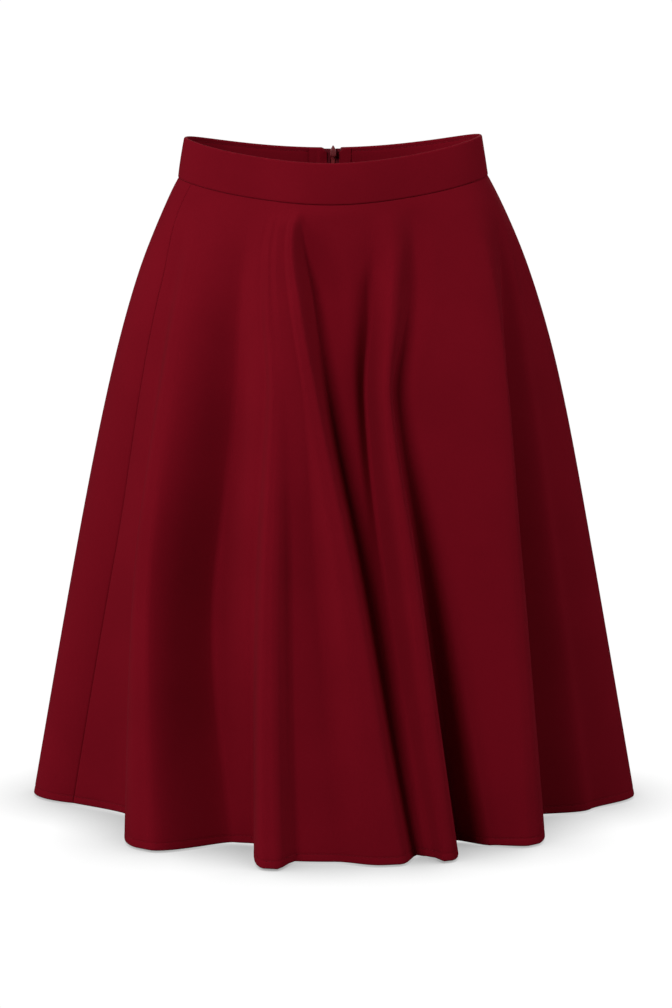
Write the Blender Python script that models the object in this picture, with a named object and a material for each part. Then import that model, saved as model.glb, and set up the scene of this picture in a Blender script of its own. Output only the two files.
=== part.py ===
"""An a-line midi skirt on a shaped waistband, filled out as it is when it is worn.

The frame is in metres with +Z up and +X to the viewer's right; the front of the skirt faces -Y. The origin is the
middle of the waist, level with the top of the waistband at the centre front. Angles run round the skirt as seen
from above: 0 is the centre front, +90 the viewer's right side, -90 the left side and 180 the centre back.
"""
import math
from collections import namedtuple

import bmesh
import bpy
import numpy as np

MM = 0.001
SEAM_GAP = 0.3 * MM

# Waistband
WAIST_WIDTH = 281 * MM
WAIST_DEPTH = 182 * MM
BAND_HEIGHT = 38 * MM
BAND_SPREAD = 6.2 * MM
BAND_THICKNESS = 3.0 * MM
BAND_EDGE_ROLL = 0.5 * MM
BAND_EDGE_HEIGHT = 2.5 * MM
SIDE_RISE = 18.2 * MM
LEAN = 1.2 * MM
WAIST_PINCH = 0.10
BAND_LIP = 0.6 * MM
LIP_REACH = 0.01

# Skirt
HEM_LEVEL = -624.5 * MM
CLOTH = 1.6 * MM
HEM_TURN = 8 * MM
HEM_STEP = 0.8
RIGHT_SEAM = 94.5
CENTRE_BACK = 180.0
SEAM_CLEARANCE = 0.5

# Centre back zip
ZIP_LENGTH = 200 * MM
ZIP_BAND_END = 0.98
ZIP_END_CLEARANCE = 0.02
BAND_OPENING = 1.6 * MM
TAPE_TOP = 0.03
TAPE_WIDTH = 13 * MM
TAPE_THICKNESS = 0.8 * MM
COIL_WIDTH = 4.4 * MM
COIL_THICKNESS = 1.8 * MM

# Slider, with a ring outside the band that carries the pull tab
SLIDER_WIDTH = 6.0 * MM
SLIDER_HEIGHT = 10.8 * MM
SLIDER_DEPTH = 4.2 * MM
SLIDER_TOP = 2.0 * MM
SLIDER_CROWN = 4.6 * MM
SLIDER_CROWN_WIDTH = 1.6 * MM
SLIDER_BEVEL = 0.5 * MM
RING_RADIUS = 2.2 * MM
RING_HOLE = 1.4 * MM
RING_THICKNESS = 0.9 * MM
RING_STAND = 2.6 * MM
RING_DROP = 0.6 * MM
NECK_HEIGHT = 2.6 * MM
NECK_SPREAD = math.radians(41)
ROUND_SIDES = 24

# Pull tab, which is narrower at its top and leans on the band
TAB_LENGTH = 24 * MM
TAB_WIDTH = 6.4 * MM
TAB_TOP_SHARE = 0.72
TAB_TAPER = 0.6
TAB_ROUNDNESS = 0.55
TAB_THICKNESS = 1.2 * MM
TAB_BAR = 1.2 * MM
TAB_SLOT_LENGTH = 4.0 * MM
TAB_SLOT_WIDTH = 1.8 * MM
SLOT_ROUNDNESS = 0.4
TAB_BAR_SAG = 0.25 * MM
TAB_LEAN = 5.4

# How the plain form widens below the waistband: it starts as wide as the band, swells over the hips within a
# short drop, and flares evenly from there.
Spread = namedtuple("Spread", "swell swell_drop flare")
SIDE = Spread(37.1 * MM, 100 * MM, 0.147)
FRONT = Spread(22.0 * MM, 100 * MM, 0.184)
BACK = Spread(34.0 * MM, 110 * MM, 0.172)

# The lines that the folds follow, from the centre of the left side round to it again. "at" is the angle of the
# line, and "out" how far the cloth stands outside the plain form there in mm, both at the LEVELS down the skirt.
# "flat" is the width in degrees of a broad crest at the hem. "edge" is 0 for a round turn and more for a sharp one.
LEVELS = (0.03, 0.15, 0.30, 0.58, 1.0)
STAY = 0.010
Fold = namedtuple("Fold", "name at out flat edge")
FOLDS = (
    Fold("left_side_flute", (-94, -93, -93, -93, -93), (0, 3, 6.5, 12.5, 21), 3, 0.0),
    Fold("left_side_seam", (-75.5, -72.5, -73, -77.2, -82.3), (0, -3, -8, -18, -17), 0, 1.9),
    Fold("left_recess", (-70, -68, -66.5, -66.5, -67.5), (0, -4, -9, -22, -56), 0, 0.0),
    Fold("left_flute", (-62, -59, -55, -51, -42.5), (1, 5, 10, 17, 13), 4, 0.2),
    Fold("left_slope", (-44, -42, -40, -42.5, -28.8), (-1, -11, -23, -41, -45), 0, 0.3),
    Fold("left_valley", (-30, -28, -25, -24.6, -23.2), (0, -2, -5, -15, -47), 0, 0.5),
    Fold("middle_flute_left", (-27.2, -22, -18.8, -16.8, -12.5), (1, 6, 10, 16, 30), 3, 0.2),
    Fold("middle_hollow", (-23.9, -18.5, -12.6, -8.5, -4.0), (3, 5, 9, -2, 3), 9, 0.0),
    Fold("middle_flute_right", (-20.6, -14, -6.4, 3.9, 12.4), (7, 11, 11, 15, 17), 4, 0.1),
    Fold("lap_foot", (-16.2, -9.4, -1.6, 11.0, 20.0), (-3, -24, -23, -19, -9), 0, 0.7),
    Fold("lap_face", (7, 8.0, 8.6, 13.6, 21.4), (-2, -15, -17, -20, -4), 0, 0.1),
    Fold("lap_valley", (19, 18.6, 13.7, 16.2, 22.9), (-1, -20, -26, -19, 3), 0, 0.5),
    Fold("right_ridge", (30, 23.6, 17.8, 20.8, 24.6), (2, 6, 13, 20, 17), 2, 0.2),
    Fold("right_valley", (43, 35.5, 22.7, 28.3, 35.2), (-3, -12, -9, -21, -43), 0, 0.4),
    Fold("right_shoulder", (51, 44, 31, 34, 39.0), (-1, -5, -3, -8, -13), 0, 0.3),
    Fold("right_flute", (67, 63, 57, 50, 46.5), (2, 6, 10, 14, 8), 3, 0.5),
    Fold("right_recess", (79, 76, 70, 68.5, 68), (0, -12, -25, -48, -60), 0, 0.4),
    Fold("right_rise", (85, 82, 78, 77, 77), (0, -4, -8, -13, -16), 0, 0.2),
    Fold("right_side_flute", (93, 92, 91.5, 91, 91), (0.5, 5, 9.5, 14, 22), 3, 0.0),
    Fold("back_valley_1", (113, 112, 111, 110, 109), (0, -3, -8, -24, -44), 0, 0.0),
    Fold("back_flute_1", (131, 131, 130, 129, 127), (0, 3, 5, 11, 16), 5, 0.0),
    Fold("back_valley_2", (150, 148, 147, 146, 145), (0, -2, -7, -22, -40), 0, 0.2),
    Fold("back_flute_2", (165, 164, 163, 162, 162), (0, 3, 7, 15, 24), 4, 0.0),
    Fold("back_valley_3", (181, 181, 182, 183, 184), (0, 0, -3, -18, -42), 0, 0.0),
    Fold("back_flute_3", (197, 199, 201, 203, 204), (0, 3, 6, 13, 22), 6, 0.0),
    Fold("back_valley_4", (214, 217, 219, 222, 224), (0, -2, -8, -23, -46), 0, 0.2),
    Fold("back_flute_4", (229, 232, 235, 238, 240), (0, 3, 6, 10, 14), 5, 0.0),
    Fold("back_valley_5", (247, 249, 250, 252, 253), (0, -3, -8, -22, -42), 0, 0.0),
)
FULL_TURN = 360.0

# Where each panel is divided: rows down the skirt, columns round it, and the band's columns in degrees.
ROWS = (0.0, 0.010, 0.019, 0.03, 0.06, 0.10, 0.15, 0.21, 0.27, 0.34, 0.42, 0.50, 0.58, 0.67, 0.76, 0.85, 0.93)
FRONT_STEP = 15 * MM
BACK_STEP = 22 * MM
BAND_STEP = 3.6

CRIMSON = (0.165, 0.004, 0.011, 1.0)
TAPE_RED = (0.13, 0.005, 0.012, 1.0)
COIL_RED = (0.11, 0.004, 0.009, 1.0)
SLIDER_RED = (0.12, 0.004, 0.010, 1.0)
CLOTH_ROUGHNESS = 0.85
PAINT_ROUGHNESS = 0.45
PAINT_METALLIC = 0.3
SMOOTH_ANGLE = math.radians(50)


def through(levels, values, t):
    """A smooth curve through the values at the levels, with no overshoot between them."""
    x, y = np.asarray(levels, float), np.asarray(values, float)
    step = np.diff(x)
    rise = np.diff(y) / step
    product = rise[:-1] * rise[1:]
    total = np.where(product > 0, rise[:-1] + rise[1:], 1.0)
    inner = np.where(product > 0, 2.0 * product / total, 0.0)
    slope = np.concatenate(([rise[0]], inner, [rise[-1]]))
    t = np.clip(np.asarray(t, float), x[0], x[-1])
    i = np.clip(np.searchsorted(x, t, side="right") - 1, 0, len(x) - 2)
    s = (t - x[i]) / step[i]
    stretch = step[i]
    return (y[i] * (1 - s) ** 2 * (1 + 2 * s) + slope[i] * stretch * s * (1 - s) ** 2
            + y[i + 1] * s * s * (3 - 2 * s) - slope[i + 1] * stretch * s * s * (1 - s))


def fold_lines(t):
    """Angle and distance out of every fold line at height t, a broad crest giving two lines."""
    lines = []
    levels = (0.0,) + LEVELS
    for fold in FOLDS:
        angle = through(levels, fold.at[:1] + fold.at, t)
        out = through((0.0, STAY) + LEVELS, (0.0, 0.0) + fold.out, t) * MM
        if fold.flat:
            half = 0.5 * fold.flat * (0.4 + 0.6 * np.asarray(t, float))
            lines.append((angle - half, out, fold.edge))
            lines.append((angle + half, out, fold.edge))
        else:
            lines.append((angle, out, fold.edge))
    first = lines[0]
    lines.append((first[0] + FULL_TURN, first[1], first[2]))
    return lines


def fold_out(angle, t):
    """How far the folded cloth stands outside the plain form."""
    lines = fold_lines(t)
    turned = lines[0][0] + np.mod(angle - lines[0][0], FULL_TURN)
    total = np.zeros(np.broadcast(angle, t).shape)
    for (a0, out0, edge0), (a1, out1, edge1) in zip(lines, lines[1:]):
        s = np.clip((turned - a0) / (a1 - a0), 0.0, 1.0)
        ease = s * s * (3 - 2 * s) + edge0 * s * (1 - s) ** 2 - edge1 * s * s * (1 - s)
        inside = (turned >= a0) & (turned < a1)
        total = np.where(inside, out0 + (out1 - out0) * ease, total)
    return total


def ring(angle, half_width, half_front, half_back, pinch):
    """A closed outline round the body: an ellipse whose front corners are drawn in by the share given as pinch."""
    side, ahead = np.sin(np.radians(angle)), np.cos(np.radians(angle))
    half_depth = np.where(ahead > 0, half_front, half_back)
    radius = 1.0 / np.sqrt((side / half_width) ** 2 + (ahead / half_depth) ** 2)
    return radius * (1.0 - np.where(ahead > 0, pinch, 0.0) * (2.0 * side * ahead) ** 2)


def on_turn(angle, radius, height):
    """Points at the given angles, distances from the body's middle and heights."""
    turn = np.radians(angle)
    return np.stack((radius * np.sin(turn), -radius * np.cos(turn), height), axis=-1)


def band_top(angle):
    """The height of the band's top edge, which rises to the sides."""
    waist = ring(angle, 0.5 * WAIST_WIDTH, 0.5 * WAIST_DEPTH, 0.5 * WAIST_DEPTH, WAIST_PINCH)
    across = waist * np.sin(np.radians(angle)) / (0.5 * WAIST_WIDTH)
    return SIDE_RISE * across ** 2 + LEAN * across


def widths(drop, spread):
    return spread.swell * (1 - np.exp(-drop / spread.swell_drop)) + spread.flare * drop


def skirt_surface(angle, t):
    """Points of the skirt's outer face: t is 0 at the band and 1 at the hem."""
    angle, t = np.broadcast_arrays(np.asarray(angle, float), np.asarray(t, float))
    start_w, start_d = 0.5 * WAIST_WIDTH + BAND_SPREAD, 0.5 * WAIST_DEPTH + BAND_SPREAD
    drop = t * (-HEM_LEVEL - BAND_HEIGHT + SIDE_RISE)
    pinch = WAIST_PINCH * np.exp(-drop / SIDE.swell_drop)
    plain = ring(angle, start_w + widths(drop, SIDE), start_d + widths(drop, FRONT),
                 start_d + widths(drop, BACK), pinch)
    radius = plain + fold_out(angle, t) - BAND_LIP * np.exp(-t / LIP_REACH)
    top = band_top(angle) - BAND_HEIGHT - SEAM_GAP
    return on_turn(angle, radius, top + (HEM_LEVEL - top) * t)


def band_surface(angle, v):
    """Points of the waistband's outer face: v is 0 at its top edge and 1 at its lower edge."""
    angle, v = np.broadcast_arrays(np.asarray(angle, float), np.asarray(v, float))
    grow = BAND_SPREAD * v
    radius = ring(angle, 0.5 * WAIST_WIDTH + grow, 0.5 * WAIST_DEPTH + grow, 0.5 * WAIST_DEPTH + grow, WAIST_PINCH)
    return on_turn(angle, radius, band_top(angle) - BAND_HEIGHT * v)


def level_normals(surface, angles, down, d_angle=0.25, d_down=0.002):
    """Unit normals of a surface, pointing away from the body and turned level."""
    down = np.full(np.shape(angles), np.clip(down, d_down, 1.0 - d_down))
    round_it = surface(angles + d_angle, down) - surface(angles - d_angle, down)
    along = surface(angles, down + d_down) - surface(angles, down - d_down)
    normals = np.cross(along, round_it)
    normals[:, 2] = 0.0
    return normals / np.linalg.norm(normals, axis=-1, keepdims=True)


def finish(name, colour, roughness, metallic=0.0):
    """The plain material of one piece."""
    made = bpy.data.materials.new(name + "_finish")
    made.use_nodes = True
    shader = made.node_tree.nodes["Principled BSDF"]
    shader.inputs["Base Color"].default_value = colour
    shader.inputs["Roughness"].default_value = roughness
    shader.inputs["Metallic"].default_value = metallic
    return made


def add_object(name, shape, its_finish):
    """Turns a bmesh into an object of the scene, shaded smooth but for its sharp edges."""
    mesh_data = bpy.data.meshes.new(name)
    shape.to_mesh(mesh_data)
    shape.free()
    mesh_data.shade_smooth()
    mesh_data.set_sharp_from_angle(angle=SMOOTH_ANGLE)
    mesh_data.materials.append(its_finish)
    made = bpy.data.objects.new(name, mesh_data)
    bpy.context.scene.collection.objects.link(made)
    return made


def wall(name, outer, inner, its_finish):
    """A closed wall between two grids of points, given as rows from top to bottom and columns from left to right."""
    rows, columns = outer.shape[:2]
    shape = bmesh.new()
    out, back = [[[shape.verts.new(point) for point in row] for row in grid] for grid in (outer, inner)]
    for r in range(rows - 1):
        for c in range(columns - 1):
            shape.faces.new((out[r][c], out[r + 1][c], out[r + 1][c + 1], out[r][c + 1]))
            shape.faces.new((back[r][c], back[r][c + 1], back[r + 1][c + 1], back[r + 1][c]))
    for c in range(columns - 1):
        shape.faces.new((out[0][c], out[0][c + 1], back[0][c + 1], back[0][c]))
        shape.faces.new((out[-1][c], back[-1][c], back[-1][c + 1], out[-1][c + 1]))
    for r in range(rows - 1):
        shape.faces.new((out[r][0], back[r][0], back[r + 1][0], out[r + 1][0]))
        shape.faces.new((out[r][-1], out[r + 1][-1], back[r + 1][-1], back[r][-1]))
    bmesh.ops.triangulate(shape, faces=shape.faces)
    return add_object(name, shape, its_finish)


def panel_stops(left, right, t):
    """The angles of a panel's two seams and of the fold lines that reach its hem between them."""
    stops = [left(t)]
    for turn in (0.0, FULL_TURN):
        for line, hem_line in zip(fold_lines(t)[:-1], fold_lines(1.0)[:-1]):
            if left(1.0) + SEAM_CLEARANCE < hem_line[0] + turn < right(1.0) - SEAM_CLEARANCE:
                stops.append(line[0] + turn)
    stops.append(right(t))
    return np.array(stops)


def stretch_parts(left, right, step):
    """How many columns each stretch between two stops takes, from its widest place down the skirt."""
    widths_at = []
    for t in LEVELS:
        stops = panel_stops(left, right, t)
        radii = np.linalg.norm(skirt_surface(stops, t)[:, :2], axis=1)
        widths_at.append(np.radians(np.diff(stops)) * 0.5 * (radii[:-1] + radii[1:]))
    widest = np.max(widths_at, axis=0)
    return np.maximum(1, np.round(widest / step)).astype(int)


def panel_angles(left, right, t, parts):
    """Column angles from one seam to the next, gathered on the fold lines between them."""
    stops = panel_stops(left, right, t)
    stretches = [np.linspace(a, b, n, endpoint=False) for a, b, n in zip(stops, stops[1:], parts)]
    return np.concatenate(stretches + [stops[-1:]])


def seam_line(angles):
    """The angle of a seam at height t, from its angles at the LEVELS."""
    def at(t):
        return float(through((0.0,) + LEVELS, angles[:1] + angles, t))
    return at


def straight_seam(angle):
    return seam_line((angle,) * len(LEVELS))


def trim_ends(angles, radius, gap):
    """Draws each end of a run of columns in by half the gap that lies between two pieces."""
    angles = angles.copy()
    angles[0] += math.degrees(0.5 * gap / radius)
    angles[-1] -= math.degrees(0.5 * gap / radius)
    return angles


def panel(name, left, right, step):
    """One skirt panel from seam to seam, with its hem turned up inside."""
    turn_up = HEM_TURN / (-HEM_LEVEL - BAND_HEIGHT)
    plain_rows = [(t, CLOTH) for t in ROWS + (1.0 - turn_up,)]
    hem_rows = [(1.0 - HEM_STEP * turn_up, 2 * CLOTH), (1.0, 2 * CLOTH)]
    parts = stretch_parts(left, right, step)
    outer, inner = [], []
    for t, thickness in plain_rows + hem_rows:
        angles = panel_angles(left, right, t, parts)
        radius = np.linalg.norm(skirt_surface(angles[:1], t)[0, :2])
        angles = trim_ends(angles, radius, SEAM_GAP)
        points = skirt_surface(angles, t)
        outer.append(points)
        inner.append(points - level_normals(skirt_surface, angles, t) * thickness)
    return wall(name, np.array(outer), np.array(inner), finish(name, CRIMSON, CLOTH_ROUGHNESS))


def waistband():
    """The band in one piece, from the zip round the front and back to the zip."""
    angles = np.linspace(CENTRE_BACK - FULL_TURN, CENTRE_BACK, 1 + round(FULL_TURN / BAND_STEP))
    angles = trim_ends(angles, 0.5 * WAIST_DEPTH, BAND_OPENING)
    edge = BAND_EDGE_HEIGHT / BAND_HEIGHT
    outer, inner = [], []
    for v, roll in ((0.0, BAND_EDGE_ROLL), (edge, 0.0), (1.0 - edge, 0.0), (1.0, BAND_EDGE_ROLL)):
        points = band_surface(angles, v)
        normals = level_normals(band_surface, angles, v)
        outer.append(points - normals * roll)
        inner.append(points - normals * (BAND_THICKNESS - roll))
    return wall("waistband", np.array(outer), np.array(inner), finish("waistband", CRIMSON, CLOTH_ROUGHNESS))


def zip_rows(top):
    """Rows down the centre back, from a share of the band's height to the zip's end.

    Each row gives the surface that it follows, its height there, and how far inside it the tape begins.
    """
    end = (ZIP_LENGTH - BAND_HEIGHT) / (-HEM_LEVEL - BAND_HEIGHT)
    step_in = BAND_THICKNESS - BAND_LIP - CLOTH
    rows = [(band_surface, v, BAND_THICKNESS + SEAM_GAP) for v in (top, 0.5 * (1.0 + top), ZIP_BAND_END)]
    for t in [row for row in ROWS if row < end - ZIP_END_CLEARANCE] + [end]:
        rows.append((skirt_surface, t, CLOTH + SEAM_GAP + step_in * math.exp(-t / (2 * LIP_REACH))))
    return rows


def zip_strip(name, top, start, width, thickness, colour, roughness):
    """A strip along the centre back, from start to start + width beside the seam, inside the cloth."""
    outer, inner = [], []
    for surface, down, depth in zip_rows(top):
        radius = surface(CENTRE_BACK, down)[1]
        angles = CENTRE_BACK + np.degrees(np.array((start, start + 0.5 * width, start + width)) / radius)
        points = surface(angles, down)
        normals = level_normals(surface, angles, down)
        outer.append(points - normals * depth)
        inner.append(points - normals * (depth + thickness))
    return wall(name, np.array(outer), np.array(inner), finish(name, colour, roughness))


def pierced_plate(outline, hole, thickness, place):
    """A flat plate with one hole, its two outlines having as many points. place puts (u, v, w) in the frame."""
    shape = bmesh.new()
    near, far = 0.5 * thickness, -0.5 * thickness
    loops = [[shape.verts.new(place(u, v, w)) for u, v in outline_points]
             for outline_points, w in ((outline, near), (hole, near), (hole, far), (outline, far))]
    for first, second in zip(loops, loops[1:] + loops[:1]):
        for k in range(len(outline)):
            nxt = (k + 1) % len(outline)
            shape.faces.new((first[k], first[nxt], second[nxt], second[k]))
    bmesh.ops.recalc_face_normals(shape, faces=shape.faces)
    bmesh.ops.triangulate(shape, faces=shape.faces)
    return shape


def rounded(phase, half_u, half_v, power):
    """A point of an outline between an ellipse (power 1) and a rectangle (power near 0)."""
    across, along = math.sin(phase), math.cos(phase)
    return (half_u * math.copysign(abs(across) ** power, across), half_v * math.copysign(abs(along) ** power, along))


def ring_centre():
    """The centre of the slider's ring, outside the band at the centre back."""
    return 0.5 * WAIST_DEPTH + RING_STAND, -RING_DROP


def slider_block():
    """The slider's body, inside the tapes, which narrows to a crown at its top."""
    face = 0.5 * WAIST_DEPTH - BAND_THICKNESS - TAPE_THICKNESS - 2 * SEAM_GAP
    half, crown_half = 0.5 * SLIDER_WIDTH, 0.5 * SLIDER_CROWN_WIDTH
    low, shoulder = SLIDER_TOP - SLIDER_HEIGHT, SLIDER_TOP - SLIDER_CROWN
    outline = ((-half, low), (half, low), (half, shoulder), (crown_half, SLIDER_TOP), (-crown_half, SLIDER_TOP),
               (-half, shoulder))
    shape = bmesh.new()
    near, far = [[shape.verts.new((x, y, z)) for x, z in outline] for y in (face - SLIDER_DEPTH, face)]
    shape.faces.new(near)
    shape.faces.new(far[::-1])
    for k in range(len(outline)):
        nxt = (k + 1) % len(outline)
        shape.faces.new((near[k], far[k], far[nxt], near[nxt]))
    bmesh.ops.recalc_face_normals(shape, faces=shape.faces)
    bmesh.ops.bevel(shape, geom=shape.edges, offset=SLIDER_BEVEL, segments=2, profile=0.5, affect="EDGES")
    return shape


def slider_ring():
    """The ring outside the band and the neck that joins it to the body through the band's opening."""
    centre_y, centre_z = ring_centre()
    neck_end = 0.5 * WAIST_DEPTH - BAND_THICKNESS - TAPE_THICKNESS - 0.5 * SLIDER_DEPTH - centre_y
    outline, hole = [], []
    for k in range(ROUND_SIDES):
        turn = math.tau * k / ROUND_SIDES
        across, up = math.cos(turn), math.sin(turn)
        hole.append((RING_HOLE * across, RING_HOLE * up))
        if across < -math.cos(NECK_SPREAD):
            outline.append((neck_end, NECK_HEIGHT * max(-0.5, min(0.5, up))))
        else:
            outline.append((RING_RADIUS * across, RING_RADIUS * up))

    def place(u, v, w):
        return w, centre_y + u, centre_z + v
    return pierced_plate(outline, hole, RING_THICKNESS, place)


def zip_slider():
    """The slider: its body and its ring joined into one solid."""
    its_finish = finish("zip_slider", SLIDER_RED, PAINT_ROUGHNESS, PAINT_METALLIC)
    guide = add_object("zip_slider_ring_guide", slider_ring(), its_finish)
    guide.hide_render = True
    guide.display_type = "WIRE"
    slider = add_object("zip_slider", slider_block(), its_finish)
    join = slider.modifiers.new("join_ring", "BOOLEAN")
    join.operation = "UNION"
    join.solver = "EXACT"
    join.object = guide
    return slider


def zip_pull_tab():
    """The tab, which hangs by its bar from the slider's ring and leans on the band."""
    centre_y, centre_z = ring_centre()
    pivot_y, pivot_z = centre_y, centre_z - TAB_BAR_SAG
    lean = math.radians(TAB_LEAN)
    down = (math.sin(lean), -math.cos(lean))
    away = (math.cos(lean), math.sin(lean))
    slot_middle = 0.5 * TAB_BAR + 0.5 * TAB_SLOT_LENGTH
    outline, hole = [], []
    for k in range(ROUND_SIDES):
        phase = math.tau * k / ROUND_SIDES
        u, v = rounded(phase, 0.5 * TAB_WIDTH, 0.5 * TAB_LENGTH, TAB_ROUNDNESS)
        full_width_at = 0.5 * TAB_LENGTH - TAB_TAPER * TAB_LENGTH
        taper = min(1.0, (0.5 * TAB_LENGTH - v) / (0.5 * TAB_LENGTH - full_width_at))
        outline.append((u * (TAB_TOP_SHARE + (1.0 - TAB_TOP_SHARE) * taper), 0.5 * (TAB_LENGTH - TAB_BAR) - v))
        u, v = rounded(phase, 0.5 * TAB_SLOT_WIDTH, 0.5 * TAB_SLOT_LENGTH, SLOT_ROUNDNESS)
        hole.append((u, slot_middle - v))

    def place(u, v, w):
        return u, v * down[0] + w * away[0], v * down[1] + w * away[1]
    tab = add_object("zip_pull_tab", pierced_plate(outline, hole, TAB_THICKNESS, place),
                     finish("zip_pull_tab", SLIDER_RED, PAINT_ROUGHNESS, PAINT_METALLIC))
    tab.location = (0.0, pivot_y, pivot_z)
    return tab


def centre_back_zip():
    half_coil = 0.5 * COIL_WIDTH
    tape = TAPE_WIDTH - half_coil
    below_slider = (SLIDER_HEIGHT - SLIDER_TOP + 2 * SEAM_GAP) / BAND_HEIGHT
    zip_strip("zip_tape_right", TAPE_TOP, -half_coil - SEAM_GAP - tape, tape, TAPE_THICKNESS,
              TAPE_RED, CLOTH_ROUGHNESS)
    zip_strip("zip_tape_left", TAPE_TOP, half_coil + SEAM_GAP, tape, TAPE_THICKNESS, TAPE_RED, CLOTH_ROUGHNESS)
    zip_strip("zip_coil", below_slider, -half_coil, COIL_WIDTH, COIL_THICKNESS, COIL_RED, PAINT_ROUGHNESS)
    zip_slider()
    zip_pull_tab()


def clear_scene():
    for old in list(bpy.data.objects):
        bpy.data.objects.remove(old, do_unlink=True)


def build():
    clear_scene()
    left = seam_line(next(fold.at for fold in FOLDS if fold.name == "left_side_seam"))
    right = straight_seam(RIGHT_SEAM)
    panel("front_panel", left, right, FRONT_STEP)
    panel("back_panel_right", right, straight_seam(CENTRE_BACK), BACK_STEP)
    panel("back_panel_left", straight_seam(CENTRE_BACK - FULL_TURN), left, BACK_STEP)
    waistband()
    centre_back_zip()


if __name__ == "__main__":
    build()
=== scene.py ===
# %% [markdown]
# # A flared skirt in crimson crepe
#
# This skirt hangs from a shaped waistband and falls into deep, soft folds, as it does when someone wears
# it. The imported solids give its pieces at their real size. Here each piece gets its finished surface: cloth
# with rolled edges, stitches, a woven zip tape with its coil, a painted slider, and the studio around them.
# Everything is in metres with +Z up. The front of the skirt faces -Y, and +X is the viewer's right.

# %% Load the solids as a fixed frame
import math
from collections import namedtuple

import bmesh
import bpy
import numpy as np
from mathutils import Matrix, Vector


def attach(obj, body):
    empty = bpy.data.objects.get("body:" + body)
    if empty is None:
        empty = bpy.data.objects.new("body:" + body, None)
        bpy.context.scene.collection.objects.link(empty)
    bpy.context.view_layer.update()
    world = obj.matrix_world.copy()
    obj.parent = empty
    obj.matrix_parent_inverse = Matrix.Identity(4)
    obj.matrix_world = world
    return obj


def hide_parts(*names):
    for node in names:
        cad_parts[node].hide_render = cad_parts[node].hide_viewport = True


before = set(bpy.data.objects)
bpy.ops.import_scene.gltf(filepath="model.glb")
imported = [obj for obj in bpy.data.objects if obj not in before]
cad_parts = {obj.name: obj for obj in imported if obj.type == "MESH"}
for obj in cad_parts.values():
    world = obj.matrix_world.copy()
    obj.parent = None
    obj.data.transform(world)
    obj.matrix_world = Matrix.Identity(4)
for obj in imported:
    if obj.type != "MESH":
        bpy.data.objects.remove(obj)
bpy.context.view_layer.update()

MM = 0.001

# %% [markdown]
# ## The form of the skirt
#
# A skirt like this is cut as flared panels, and the extra width at the hem falls into folds. One way to get
# that form is a cloth simulation, but it never falls into the same folds as the skirt in front of us. So
# the form is a rule. A plain form widens from the waist to the hem, and every fold is a line that runs down
# it, with the distance that the cloth stands outside or inside the plain form at five heights.
#
# Angles run round the skirt as seen from above: 0 is the centre front, +90 the viewer's right, 180 the
# centre back.

# %% Sizes of the waistband and the skirt
WAIST_WIDTH = 281 * MM
WAIST_DEPTH = 182 * MM
BAND_HEIGHT = 38 * MM
BAND_SPREAD = 6.2 * MM
BAND_THICKNESS = 3.0 * MM
SIDE_RISE = 18.2 * MM
LEAN = 1.2 * MM
WAIST_PINCH = 0.10
BAND_LIP = 0.6 * MM
LIP_REACH = 0.01
SEAM_GAP = 0.3 * MM
BAND_SEAM = 0.02 * MM
HEM_LEVEL = -624.5 * MM
CLOTH = 1.6 * MM
HEM_TURN = 8 * MM
CENTRE_BACK = 180.0
FULL_TURN = 360.0
DROP = -HEM_LEVEL - BAND_HEIGHT + SIDE_RISE

Spread = namedtuple("Spread", "swell swell_drop flare")
SIDE = Spread(37.1 * MM, 100 * MM, 0.147)
FRONT = Spread(22.0 * MM, 100 * MM, 0.184)
BACK = Spread(34.0 * MM, 110 * MM, 0.172)
print(f"Waist {WAIST_WIDTH / MM:.0f} x {WAIST_DEPTH / MM:.0f} mm, band {BAND_HEIGHT / MM:.0f} mm high")

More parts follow.
